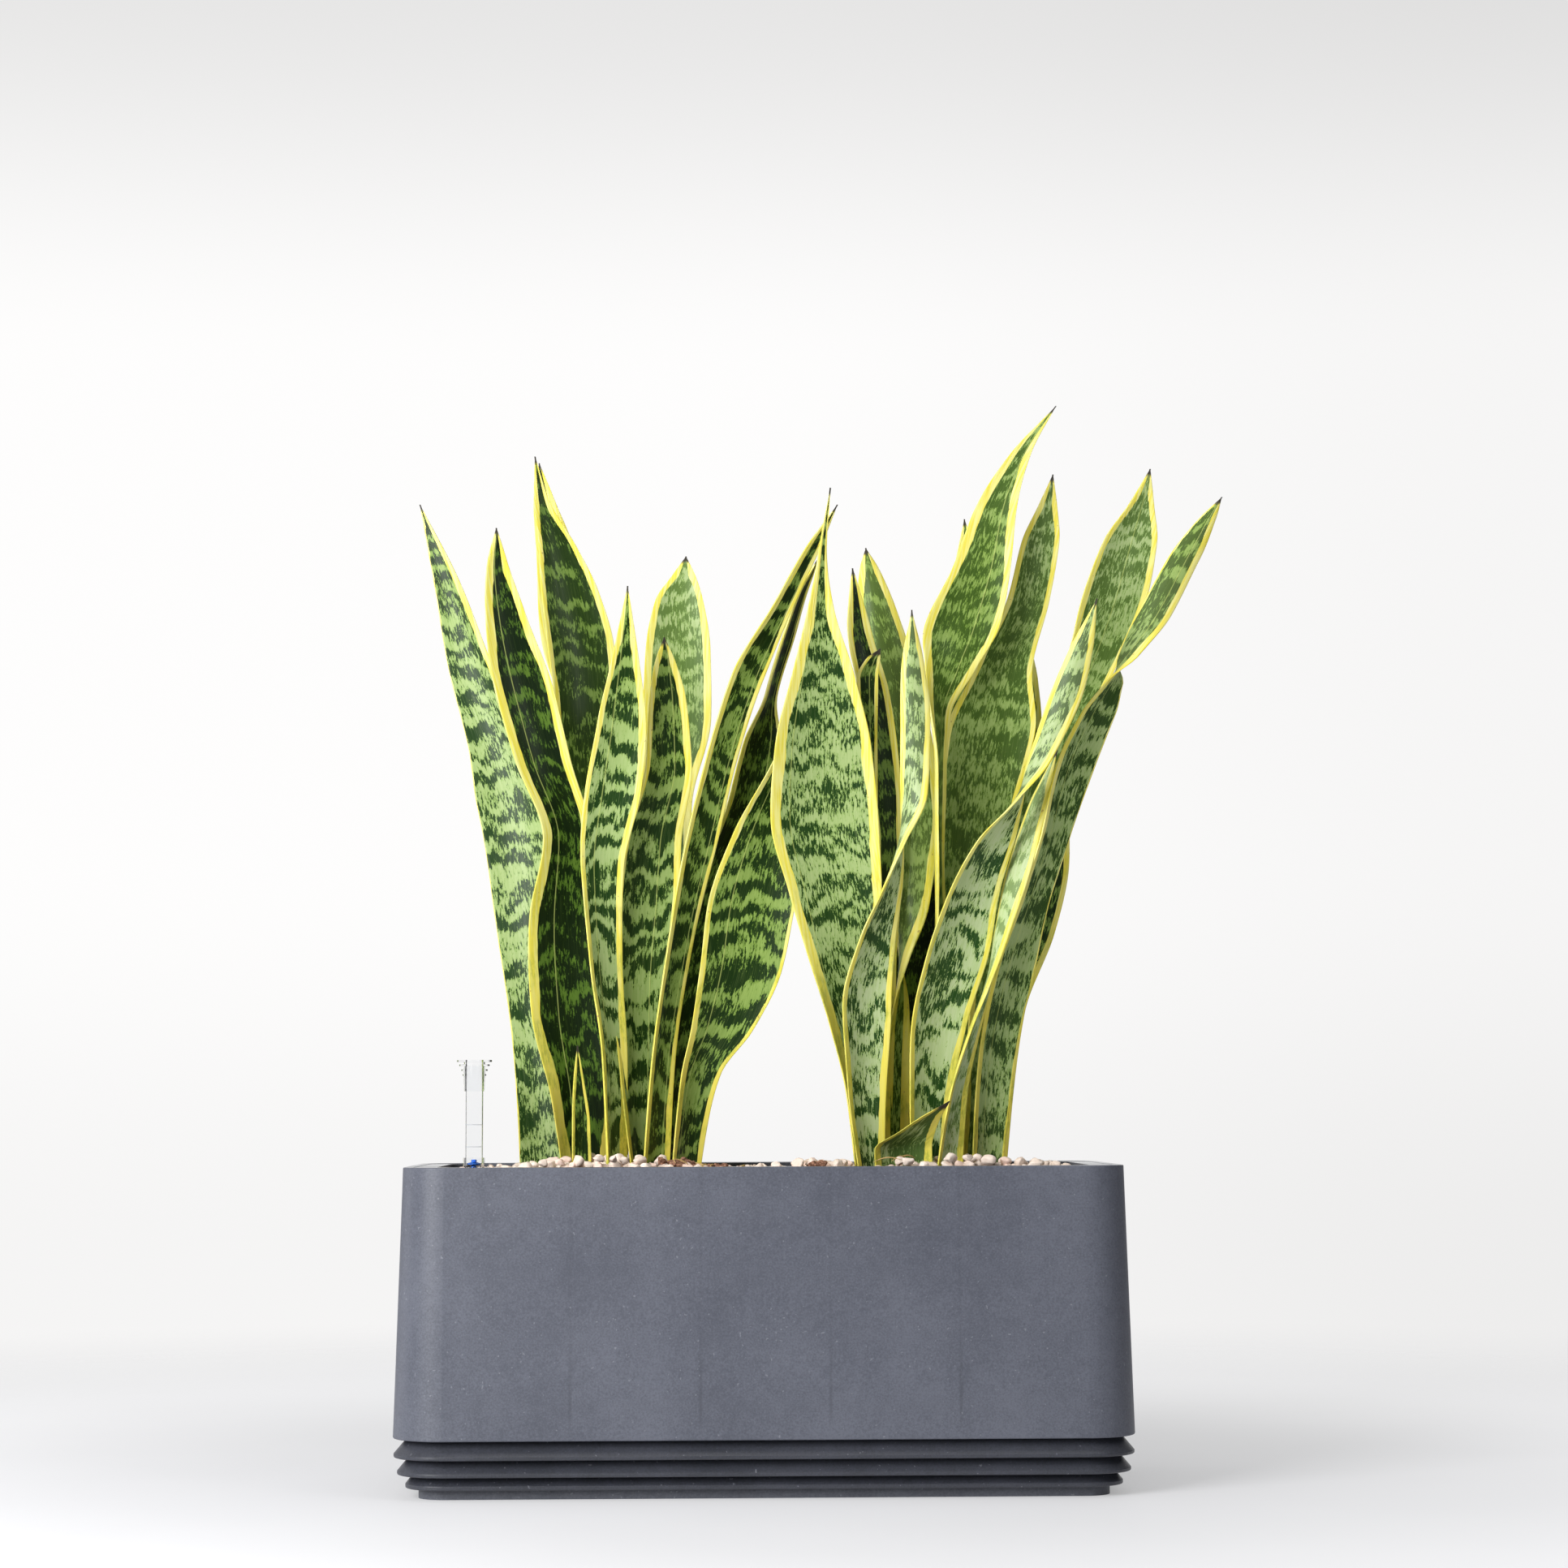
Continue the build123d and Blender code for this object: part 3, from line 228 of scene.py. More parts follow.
RIGHT_PLANT = {
    "great_front": [
        (230, 89, -28, 28, 50), (320, 84, -30, 35, 38), (380, 76, -32, 47, 26),
        (435, 68, -36, 63, 17), (490, 61, -42, 80, 13), (550, 52, -49, 92, 10),
        (610, 51, -55, 83, 10), (670, 51, -61, 54, 13), (725, 49, -67, 23, 20),
        (765, 50, -70, 9, 25), (826, 57, -75, 0, 25),
    ],
    "twisted_front": [
        (230, 92, -34, 23, 40), (335, 86, -50, 39, 28), (395, 86, -56, 46, 28),
        (450, 95, -62, 38, 38), (490, 107, -68, 30, 54), (530, 117, -75, 26, 90),
        (570, 125, -79, 25, 150), (630, 126, -85, 25, 175), (675, 124, -89, 19, 180),
        (720, 123, -95, 0, 180),
    ],
    "middle_back": [
        (230, 112, -1, 21, 28), (340, 114, 1, 24, 24), (395, 118, 3, 22, 49),
        (430, 121, 5, 22, 94), (485, 127, 9, 34, 163), (560, 130, 15, 47, 173),
        (620, 124, 19, 48, 173), (685, 112, 25, 45, 175), (735, 102, 30, 35, 175),
        (775, 95, 33, 17, 175), (794, 92, 35, 0, 175),
    ],
    "deep_middle": [
        (230, 142, 24, 50, 8), (400, 140, 28, 62, 6), (470, 141, 30, 54, 5),
        (530, 144, 32, 34, 4), (585, 143, 34, 12, 0), (605, 142, 34, 0, 0),
    ],
    "dark_middle": [
        (230, 99, 0, 17, 28), (425, 102, -7, 25, 23), (525, 108, -11, 25, 23),
        (605, 103, -12, 29, 20), (660, 96, -13, 28, 17), (712, 84, -14, 22, 16),
        (747, 80, -15, 10, 20), (768, 78, -15, 0, 20),
    ],
    "small_side": [
        (230, 88, -6, 14, 17), (490, 91, -20, 15, 23), (625, 90, -31, 16, 22),
        (670, 89, -36, 19, 18), (687, 94, -36, 13, 26), (696, 100, -35, 0, 26),
    ],
    "tallest": [
        (230, 161, 5, 19, 32), (425, 154, 5, 23, 59), (530, 153, 4, 29, 76),
        (600, 154, 2, 31, 74), (645, 153, 0, 33, 55), (685, 162, -3, 48, 18),
        (720, 172, -3, 65, 5), (770, 189, -3, 50, 2), (825, 203, -1, 35, 0),
        (870, 224, 0, 18, 0), (912, 255, 0, 0, 0),
    ],
    "behind_tallest": [
        (230, 164, 32, 23, 10), (495, 165, 46, 28, 4), (640, 173, 53, 34, 3),
        (737, 180, 58, 37, 3), (788, 182, 59, 20, 3), (824, 180, 60, 0, 3),
    ],
    "broad_middle": [
        (230, 157, 17, 26, 13), (460, 173, 24, 51, 11), (565, 186, 25, 67, 12),
        (632, 198, 25, 79, 10), (690, 211, 26, 51, 14), (747, 232, 27, 39, 15),
        (797, 243, 28, 34, 13), (830, 250, 29, 17, 13), (858, 255, 30, 0, 13),
    ],
    "behind_broad": [
        (230, 171, 41, 21, 5), (460, 196, 57, 28, 4), (565, 213, 66, 35, 3),
        (635, 228, 72, 38, 3), (683, 231, 76, 28, 3), (719, 233, 79, 10, 5),
        (737, 234, 80, 0, 5),
    ],
    "right_back": [
        (230, 179, 19, 26, 23), (425, 197, 25, 35, 20), (530, 225, 30, 40, 18),
        (635, 262, 34, 41, 17), (705, 292, 36, 51, 16), (750, 308, 38, 60, 14),
        (800, 323, 42, 50, 14), (835, 334, 44, 23, 18), (866, 342, 45, 0, 18),
    ],
    "twisted_right": [
        (230, 135, -34, 34, 36), (325, 140, -38, 42, 31), (380, 147, -42, 53, 27),
        (435, 162, -45, 60, 26), (490, 177, -48, 51, 31), (530, 194, -52, 41, 38),
        (567, 216, -55, 26, 80), (600, 232, -55, 24, 143), (650, 253, -56, 28, 166),
        (692, 267, -59, 20, 169), (735, 281, -60, 0, 169),
    ],
    "outer_right": [
        (230, 185, -19, 29, 38), (355, 197, -22, 40, 33), (422, 211, -23, 43, 34),
        (485, 230, -25, 37, 45), (530, 245, -26, 39, 46), (600, 266, -28, 44, 36),
        (642, 285, -29, 37, 36), (668, 299, -28, 26, 55), (690, 311, -26, 24, 130),
        (725, 333, -24, 30, 168), (775, 360, -22, 28, 176), (810, 381, -21, 15, 175),
        (829, 394, -20, 0, 175),
    ],
    "behind_outer_right": [
        (230, 193, 8, 21, 11), (390, 212, 12, 24, 15), (458, 237, 15, 28, 16),
        (507, 250, 16, 26, 13), (556, 257, 18, 16, 14), (594, 268, 20, 0, 14),
    ],
    "low_twist": [
        (230, 151, -47, 31, 36), (320, 162, -46, 24, 50), (375, 177, -44, 21, 63),
        (410, 189, -42, 20, 80), (457, 201, -39, 22, 121), (507, 215, -33, 25, 140),
        (560, 232, -26, 21, 139), (612, 251, -15, 0, 139),
    ],
    "short_bent": [
        (230, 118, -56, 47, 10), (278, 115, -62, 50, 16), (290, 125, -68, 35, 24),
        (302, 136, -74, 21, 29), (316, 152, -80, 0, 29),
    ],
}


# ---- node trees ----
class Nodes:
    """A node tree built from small steps."""

    def __init__(self, tree):
        self.tree = tree
        tree.nodes.clear()

    def feed(self, socket, value):
        """Link a node's output to the socket, or put a plain value on it."""
        if isinstance(value, bpy.types.NodeSocket):
            self.tree.links.new(value, socket)
        elif isinstance(value, (tuple, list)) and len(value) == 3 and len(socket.default_value) == 4:
            socket.default_value = (*value, 1.0)
        else:
            socket.default_value = value

    def node(self, kind, **settings):
        made = self.tree.nodes.new("ShaderNode" + kind)
        for key, value in settings.items():
            setattr(made, key, value)
        return made

    def math(self, operation, a, b=0.0, c=0.0, clamp=False):
        made = self.node("Math", operation=operation, use_clamp=clamp)
        for socket, value in zip(made.inputs, (a, b, c)):
            self.feed(socket, value)
        return made.outputs[0]

    def plus(self, a, b):
        return self.math("ADD", a, b)

    def minus(self, a, b):
        return self.math("SUBTRACT", a, b)

    def times(self, a, b):
        return self.math("MULTIPLY", a, b)

    def times_plus(self, a, b, c, clamp=False):
        return self.math("MULTIPLY_ADD", a, b, c, clamp)

    def larger(self, a, b):
        return self.math("MAXIMUM", a, b)

    def size_of(self, a):
        return self.math("ABSOLUTE", a)

    def remap(self, value, low, high, to_low=0.0, to_high=1.0, smooth=True):
        """Value taken from low..high to to_low..to_high, and held there outside."""
        made = self.node("MapRange", interpolation_type="SMOOTHSTEP" if smooth else "LINEAR")
        for socket, given in zip(made.inputs, (value, low, high, to_low, to_high)):
            self.feed(socket, given)
        return made.outputs[0]

    def mix(self, share, a, b):
        made = self.node("Mix", data_type="RGBA")
        self.feed(made.inputs[0], share)
        self.feed(made.inputs[6], a)
        self.feed(made.inputs[7], b)
        return made.outputs[2]

    def vector(self, x, y, z):
        made = self.node("CombineXYZ")
        for socket, value in zip(made.inputs, (x, y, z)):
            self.feed(socket, value)
        return made.outputs[0]

    def split(self, vector):
        made = self.node("SeparateXYZ")
        self.feed(made.inputs[0], vector)
        return made.outputs

    def noise(self, where, scale=1.0, detail=2.0, roughness=0.5):
        made = self.node("TexNoise")
        settings = {"Vector": where, "Scale": scale, "Detail": detail, "Roughness": roughness}
        for key, value in settings.items():
            self.feed(made.inputs[key], value)
        return made.outputs[0]


class Surface(Nodes):
    """A node material with one Principled shader at its end."""

    def __init__(self, name, roughness=0.5, **inputs):
        self.material = bpy.data.materials.new(name)
        self.material.use_nodes = True
        super().__init__(self.material.node_tree)
        self.shader = self.node("BsdfPrincipled")
        self.feed(self.node("OutputMaterial").inputs["Surface"], self.shader.outputs[0])
        self.set("Roughness", roughness)
        for key, value in inputs.items():
            self.set(key.replace("_", " "), value)

    def set(self, socket, value):
        self.feed(self.shader.inputs[socket], value)

    def attribute(self, name):
        return self.node("Attribute", attribute_name=name).outputs["Fac"]

    def place(self):
        """Where a point is on the object, in metres: as one vector, and as x, y and z."""
        coordinates = self.node("TexCoord").outputs["Object"]
        return coordinates, self.split(coordinates)

    def facing_up(self):
        """1 where the surface looks straight up, 0 where it is upright."""
        return self.split(self.node("TexCoord").outputs["Normal"])[2]

    def bump(self, height, distance=1.0, strength=1.0):
        made = self.node("Bump")
        for key, value in {"Height": height, "Distance": distance, "Strength": strength}.items():
            self.feed(made.inputs[key], value)
        self.set("Normal", made.outputs[0])


def colour(red, green, blue):
    """A colour as 0..255 screen values, made linear."""
    values = []
    for part in (red, green, blue):
        share = part / 255
        values.append(share / 12.92 if share < 0.04045 else ((share + 0.055) / 1.055) ** 2.4)
    return tuple(values)


# ---- materials ----
def moulded_plastic(name, dark, light, roughness, grain=0.00006, marks=False):
    """Moulded polypropylene: slow blotches, a fine speckle and a fine grain."""
    look = Surface(name)
    where, (x, y, z) = look.place()
    blotch = look.noise(where, 7.0, 3.0, 0.6)
    speckle = look.noise(where, 620.0, 3.0, 0.7)
    mottle = look.noise(where, 90.0, 3.0, 0.6)
    flow = look.noise(look.vector(look.times(x, 30.0), y, look.times(z, 5.0)), 1.0, 4.0)
    shade = look.times_plus(blotch, 0.35, look.times(speckle, 0.70))
    shade = look.times_plus(flow, 0.15, shade)
    shade = look.times_plus(mottle, 0.22, shade)
    base = look.mix(look.remap(shade, 0.51, 0.91), dark, light)
    height = look.times_plus(speckle, grain, look.times(flow, grain * 0.6))
    if marks:
        # sink marks are a shallow dent in the bump, and are also painted darker in colour, which is
        # painted shade of the dent
        sink = sink_marks(look, x, y, z)
        base = look.mix(look.times(sink, 0.34), base, colour(50, 52, 59))
        height = look.times_plus(sink, -0.00003, height)
    specks = look.remap(look.noise(where, 330.0, 1.0), 0.735, 0.76, 0.0, 0.30)
    look.set("Base Color", look.mix(specks, base, colour(150, 152, 160)))
    # faces that look up are worn smooth by handling, and take a sheen
    dull = look.remap(blotch, 0.3, 0.7, roughness - 0.05, roughness + 0.06)
    upward = look.remap(look.facing_up(), 0.55, 0.95)
    look.set("Roughness", look.plus(dull, look.times(upward, 0.09 - roughness)))
    look.set("Specular IOR Level", look.times_plus(upward, 0.5, 0.42))
    look.bump(look.times(height, look.minus(1.0, upward)))
    return look.material


def sink_marks(look, x, y, z):
    """Faint upright marks on the long sides, where ribs stand behind the wall."""
    whole_pitches = 50  # keeps the remainder positive
    folded = look.math("MODULO", look.plus(x, RIB_PITCH * whole_pitches), RIB_PITCH)
    folded = look.minus(folded, RIB_PITCH / 2)
    waver = look.noise(look.vector(0.0, 0.0, look.times(z, 60.0)), 1.0, 3.0)
    folded = look.times_plus(waver, 0.003, look.minus(folded, 0.0015))
    line = look.remap(look.size_of(folded), 0.0, 0.0024, 1.0, 0.0)
    inside = look.remap(look.size_of(x), 0.17, 0.172, 1.0, 0.0)
    long_side = look.remap(look.size_of(y), 0.108, 0.112)
    low = look.remap(z, 0.052, 0.075)
    fade = look.remap(z, 0.07, 0.14, 1.0, 0.30)
    return look.times(line, look.times(look.times(low, fade), look.times(inside, long_side)))


def clear_plastic(name, rough):
    look = Surface(name, rough, Transmission_Weight=1.0, IOR=1.15)
    _, (x, y, z) = look.place()
    drawn_out = look.vector(look.times(x, 4.0), y, look.times(z, 0.1))
    scuff = look.noise(drawn_out, 900.0, 2.0)
    look.set("Base Color", look.mix(scuff, colour(250, 251, 252), colour(255, 255, 255)))
    look.set("Roughness", look.remap(scuff, 0.3, 0.7, rough, rough + 0.015))
    return look.material


def leaf_surface():
    """Ragged dark bands on green between yellow margins, drawn along each blade."""
    look = Surface("snake_plant_leaf", Specular_IOR_Level=0.17, Coat_Weight=0.04, Coat_Roughness=0.2)
    (across, along, half_width, tone, seed, margin, to_tip, back, crease,
     banding, depth) = (look.attribute(name) for name in LEAF_FACTS)
    u = look.times(across, half_width)
    edge = look.minus(half_width, look.size_of(u))

    def pattern(across_scale, along_scale, offset, distance=along, detail=2.0, roughness=0.5):
        where = look.vector(
            look.times(u, across_scale), look.times(distance, along_scale), look.plus(seed, offset),
        )
        return look.noise(where, 1.0, detail, roughness)

    def less_half(value, amount):
        return look.times(look.minus(value, 0.5), amount)

    streak = pattern(0.55, 0.030, 0.0)
    hair = pattern(1.9, 0.05, 3.0, detail=1.0)
    flecks = pattern(0.60, 0.13, 7.0, detail=3.0, roughness=0.70)
    tipward = look.remap(to_tip, 10.0, 190.0, 1.0, 0.0)
    # towards the tip the tone shifts: faintly banded leaves get paler, which is painted light where their
    # upper parts turn to the light, and the others get darker, which is partly their denser banding and
    # partly painted shade
    tone = look.times_plus(tipward, look.remap(depth, 0.60, 0.85, -0.25, 0.22), tone, clamp=True)
    # bands bow towards the base, crowd together towards the tip, and wander
    bow = look.times(look.times(across, across), 4.0)
    drawn_up = look.times_plus(look.times(along, along), 0.0005, look.plus(along, bow))
    drawn_up = look.plus(drawn_up, less_half(streak, 11.0))
    drawn_up = look.plus(drawn_up, less_half(pattern(0.085, 0.014, 17.0, detail=1.0), 34.0))
    wander = less_half(pattern(0.030, 0.020, 13.0, detail=1.0), 16.0)
    wave = look.math("SINE", look.plus(look.times(drawn_up, 0.200), wander))
    bands = pattern(0.020, 0.055, 11.0, drawn_up, 1.5, 0.45)
    field = look.plus(look.times(wave, look.times(banding, 0.8)), less_half(bands, 1.05))
    field = look.plus(field, less_half(flecks, 1.75))
    level = look.times_plus(tone, 0.17, -0.075)
    level = look.times_plus(tipward, 0.05, level)
    over = look.minus(level, field)
    banded = look.remap(over, -0.015, 0.025)
    near_band = look.remap(over, -0.22, 0.05)

    def by_tone(light, half, dark):
        first = look.mix(look.remap(tone, 0.0, 0.5, smooth=False), light, half)
        return look.mix(look.remap(tone, 0.5, 1.0, smooth=False), first, dark)

    pale = by_tone(colour(184, 199, 152), colour(142, 166, 88), colour(84, 112, 40))
    middle = by_tone(colour(146, 176, 96), colour(98, 130, 46), colour(56, 84, 24))
    deep = by_tone(colour(34, 68, 24), colour(24, 48, 12), colour(14, 30, 8))
    ground = look.mix(near_band, pale, middle)
    ground = look.mix(look.remap(streak, 0.35, 0.7, 0.0, 0.30), ground, middle)
    face = look.mix(look.times(banded, depth), ground, deep)
    face = look.mix(look.remap(hair, 0.50, 0.75, 0.0, 0.14), face, pale)
    face = look.mix(look.times(back, 0.20), face, pale)
    crease_line = look.remap(look.size_of(look.minus(u, crease)), 0.25, 0.65, 1.0, 0.0)
    face = look.mix(look.times(crease_line, 0.5), face, colour(186, 200, 112))

    # yellow margins with a ragged inner side, greener near the base
    drift = pattern(0.0, 0.018, 31.0)
    reach = look.times(margin, look.remap(drift, 0.25, 0.75, 0.75, 1.2, smooth=False))
    reach = look.times(reach, look.remap(along, 20.0, 220.0, 1.30, 1.0))
    reach = look.plus(reach, less_half(streak, 1.8))
    reach = look.math("MINIMUM", reach, look.times(half_width, 0.6))
    rim = look.remap(look.minus(reach, edge), -0.10, 0.20)
    yellow = look.mix(look.remap(streak, 0.35, 0.65), colour(236, 222, 84), colour(242, 236, 146))
    yellow = look.mix(look.remap(along, 60.0, 330.0, 0.8, 0.0), yellow, colour(228, 214, 92))
    olive = look.mix(look.remap(flecks, 0.42, 0.60), colour(214, 210, 80), colour(134, 152, 48))
    low = look.remap(along, 60.0, 420.0, 0.55, 0.0)
    stain = look.remap(pattern(0.05, 0.035, 37.0), 0.44, 0.62)
    yellow = look.mix(look.times(low, stain), yellow, olive)
    scars = look.remap(pattern(0.3, 0.22, 47.0, detail=1.0), 0.74, 0.79)
    yellow = look.mix(look.times(scars, 0.55), yellow, colour(150, 110, 84))
    face = look.mix(rim, face, yellow)
    # the last few millimetres are dry
    tip = look.remap(look.plus(to_tip, less_half(streak, 6.0)), 4.0, 8.0, 1.0, 0.0)
    look.set("Base Color", look.mix(tip, face, colour(62, 58, 50)))
    look.set("Roughness", look.remap(streak, 0.3, 0.7, 0.34, 0.48))
    height = look.times_plus(streak, 0.00010, look.times(hair, 0.00003))
    height = look.times_plus(crease_line, 0.00015, height)
    look.bump(height, strength=0.8)
    return look.material


def stone_surface():
    look = Surface("pebble_stone", 0.8, Specular_IOR_Level=0.25)
    where, _ = look.place()
    tint = look.attribute("tint")
    grain = look.noise(where, 1400.0, 3.0, 0.7)
    cloud = look.noise(where, 160.0, 3.0, 0.6)
    share = look.remap(tint, 0.0, 1.0, smooth=False)
    warm = look.mix(share, colour(224, 206, 192), colour(250, 238, 226))
    rosy = look.mix(look.remap(tint, 0.55, 0.9), warm, colour(240, 212, 198))
    face = look.mix(look.remap(cloud, 0.35, 0.7, 0.0, 0.5), rosy, colour(214, 190, 172))
    face = look.mix(look.remap(grain, 0.60, 0.75, 0.0, 0.45), face, colour(128, 100, 84))
    look.set("Base Color", face)
    look.bump(look.times_plus(cloud, 0.0006, look.times(grain, 0.00018)))
    return look.material


def soil_surface():
    look = Surface("bark_and_peat", 0.92, Specular_IOR_Level=0.2)
    where, _ = look.place()
    crumb = look.noise(where, 420.0, 4.0, 0.65)
    fibre = look.noise(where, 1600.0, 2.0, 0.6)
    face = look.mix(look.remap(crumb, 0.35, 0.7), colour(88, 60, 46), colour(176, 132, 108))
    face = look.mix(look.remap(fibre, 0.66, 0.74, 0.0, 0.7), face, colour(184, 146, 116))
    look.set("Base Color", face)
    look.bump(look.times_plus(crumb, 0.0010, look.times(fibre, 0.0003)))
    return look.material


def root_surface():
    look = Surface("root", 0.6)
    where, _ = look.place()
    pale, brown = colour(206, 180, 116), colour(160, 122, 70)
    look.set("Base Color", look.mix(look.noise(where, 500.0, 2.0), pale, brown))
    return look.material


def speckled(name, dark, light, roughness, scale, grain):
    """A plain material with a fine, slightly uneven colour and grain."""
    look = Surface(name, roughness)
    where, _ = look.place()
    fine = look.noise(where, scale, 3.0, 0.6)
    slow = look.noise(where, scale / 30, 2.0)
    shade = look.times_plus(fine, 0.6, look.times(slow, 0.4))
    look.set("Base Color", look.mix(shade, dark, light))
    look.set("Roughness", look.remap(slow, 0.3, 0.7, roughness - 0.05, roughness + 0.05))
    look.bump(fine, grain)
    return look.material


# ---- shared mesh helpers ----
def new_object(name, points, faces):
    mesh = bpy.data.meshes.new(name)
    mesh.from_pydata([tuple(point) for point in points], [], [tuple(face) for face in faces])
    made = bpy.data.objects.new(name, mesh)
    bpy.context.scene.collection.objects.link(made)
    return made


def add_piece(name, points, faces, material, body, slot, replaced=(), smooth=True):
    """A visible piece from plain lists, riding on a body."""
    piece = new_object(name, points, faces)
    mesh = piece.data
    mesh.validate()
    mesh.materials.append(material)
    mesh.polygons.foreach_set("use_smooth", [smooth] * len(mesh.polygons))
    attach(piece, body)
    if replaced:
        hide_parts(*replaced)
    return piece


def set_attribute(piece, name, values):
    layer = piece.data.attributes.new(name, "FLOAT", "POINT")
    layer.data.foreach_set("value", np.asarray(values, np.float32))


def gather(points, faces, more, its_faces):
    """Put one more closed shape into lists of points and faces."""
    start = len(points)
    points += [tuple(point) for point in more]
    faces += [tuple(start + k for k in face) for face in its_faces]


def skin(levels):
    """A closed skin through rings of points that all have the same count."""
    count = len(levels[0])
    points = [tuple(point) for level in levels for point in level]
    faces = [tuple(range(count - 1, -1, -1))]
    for i in range(len(levels) - 1):
        for k in range(count):
            a, b = i * count + k, i * count + (k + 1) % count
            faces.append((a, b, b + count, a + count))
    faces.append(tuple(range((len(levels) - 1) * count, len(levels) * count)))
    return points, faces


def circle(x, y, radius, z, sides):
    turns = (math.tau * k / sides for k in range(sides))
    return [(x + radius * math.cos(turn), y + radius * math.sin(turn), z) for turn in turns]


def smooth_track(knots, values, at):
    """A smooth curve through the values at the knots, with no overshoot."""
    knots, values = np.asarray(knots, float), np.asarray(values, float)
    steps = np.diff(knots)
    slopes = np.diff(values) / steps
    tangents = np.zeros_like(values)
    for i in range(1, len(values) - 1):
        if slopes[i - 1] * slopes[i] > 0:
            low, high = 2 * steps[i] + steps[i - 1], steps[i] + 2 * steps[i - 1]
            tangents[i] = (low + high) / (low / slopes[i - 1] + high / slopes[i])
    tangents[0], tangents[-1] = slopes[0], slopes[-1]
    spot = np.clip(np.searchsorted(knots, at, side="right") - 1, 0, len(steps) - 1)
    t = (at - knots[spot]) / steps[spot]
    a, b = values[spot], values[spot + 1]
    ta, tb = tangents[spot] * steps[spot], tangents[spot + 1] * steps[spot]
    return (
        a * (1 + 2 * t) * (1 - t) ** 2 + ta * t * (1 - t) ** 2
        + b * t * t * (3 - 2 * t) + tb * t * t * (t - 1)
    )


# ---- leaves ----
def blade(stations, look, seed):
    """One leaf as rings of points round a channelled, thinning section, with its facts."""
    tone, left_margin, right_margin, wave, crease, banding, depth = look
    heights, xs, ys, widths, turns = (np.array(column, float) for column in zip(*stations))
    rows = max(BLADE_ROWS_LEAST, int((heights[-1] - heights[0]) / BLADE_ROW))
    shares = np.linspace(0, 1, rows)
    at = heights[0] + (heights[-1] - heights[0]) * (1 - (1 - shares) ** TIP_CROWDING)
    track = [smooth_track(heights, values, at) for values in (xs, ys, widths, turns)]
    s = np.cos(np.linspace(math.pi, 0, BLADE_COLUMNS + 1))
    levels, facts = [], []
    for height, x, y, width, turn in zip(at, *track):
        half = max(width, TIP_WIDTH) / 2
        angle = math.radians(turn)
        lengthwise = np.array((math.cos(angle), math.sin(angle), 0.0))
        facing = np.array((math.sin(angle), -math.cos(angle), 0.0))
        low = max(0.0, 1 - (height - heights[0]) / CUP_LOW_REACH)
        cup = CUP + CUP_LOW * low
        ripple = wave * math.sin(height / RIPPLE_LENGTH + seed * 1.7) * min(1.0, half / 20)
        thick = np.minimum(BLADE_THICK, half) / 2
        edge = min(BLADE_EDGE, half) / 2
        body = edge + (thick - edge) * np.sqrt(np.clip(1 - s * s, 0, 1))
        sink = -2 * half * cup * (1 - s * s) + ripple * np.sign(s) * s * s
        level = []
        for side, order in ((1, range(len(s))), (-1, range(len(s) - 1, -1, -1))):
            for k in order:
                spot = np.array((x, y, height)) + lengthwise * (half * s[k])
                level.append((spot + facing * (sink[k] + side * body[k])) * MM)
                margin = left_margin + (right_margin - left_margin) * (s[k] + 1) / 2
                facts.append((
                    s[k], height - heights[0], half, tone, seed, margin, heights[-1] - height,
                    0.0 if side > 0 else 1.0, crease * half, banding, depth,
                ))
        levels.append(level)
    return levels, facts


def plant(name, blades, looks, node, material):
    points, faces, facts = [], [], []
    for number, (leaf, stations) in enumerate(blades.items()):
        levels, its_facts = blade(stations, looks[leaf], 3.0 + 5.3 * number)
        gather(points, faces, *skin(levels))
        facts += its_facts
    piece = add_piece(name, points, faces, material, "liner", "leaf", (node,))
    for column, values in zip(LEAF_FACTS, zip(*facts)):
        set_attribute(piece, column, values)


def blade_feet():
    """Where the blades pass through the pebbles: centre, direction and half width."""
    feet = []
    for stations in (*LEFT_PLANT.values(), *RIGHT_PLANT.values()):
        heights, *columns = zip(*stations)
        x, y, width, turn = (
            float(smooth_track(heights, column, np.array([FOOT_LEVEL]))[0]) for column in columns
        )
        feet.append((x * MM, y * MM, math.radians(turn), width * MM / 2))
    return feet


# ---- pebbles and mix ----
def in_opening(x, y, room):
    """True inside the liner's rounded opening, drawn in by room."""
    half_x, half_y, corner = OPENING_LENGTH / 2 - room, OPENING_DEPTH / 2 - room, OPENING_CORNER
    over_x, over_y = abs(x) - (half_x - corner), abs(y) - (half_y - corner)
    if over_x <= 0 or over_y <= 0:
        return abs(x) <= half_x and abs(y) <= half_y
    return math.hypot(over_x, over_y) <= corner


def clear_of(feet, x, y, room):
    """True where a stone that needs this much room touches no blade and no gauge."""
    for foot_x, foot_y, angle, half in feet:
        dx, dy = x - foot_x, y - foot_y
        lengthwise = dx * math.cos(angle) + dy * math.sin(angle)
        sideways = -dx * math.sin(angle) + dy * math.cos(angle)
        if abs(lengthwise) < half + room * 0.6 and abs(sideways) < room + 0.001:
            return False
    return math.hypot(x - GAUGE_X, y - GAUGE_Y) > PIPE_RADIUS + room


def mulch_height(x, y):
    """The surface of the pebbles: heaped round the plants, low at the ends."""
    places, levels = zip(*MULCH_PROFILE)
    level = float(smooth_track(places, levels, np.array([x]))[0])
    fall = 0.005 * max(0.0, (y + 0.02) / 0.1) ** 1.5
    return level - fall + 0.0025 * noise.noise(Vector((x * 22, y * 22, 3.1)))


def crumbly(x, y, scale, depth):
    """A rough height for loose mix."""
    where = Vector((x * scale, y * scale, 7.7))
    return depth * (noise.noise(where) + 0.5 * noise.noise(where * 2.7) + 0.3 * noise.noise(where * 6.1))


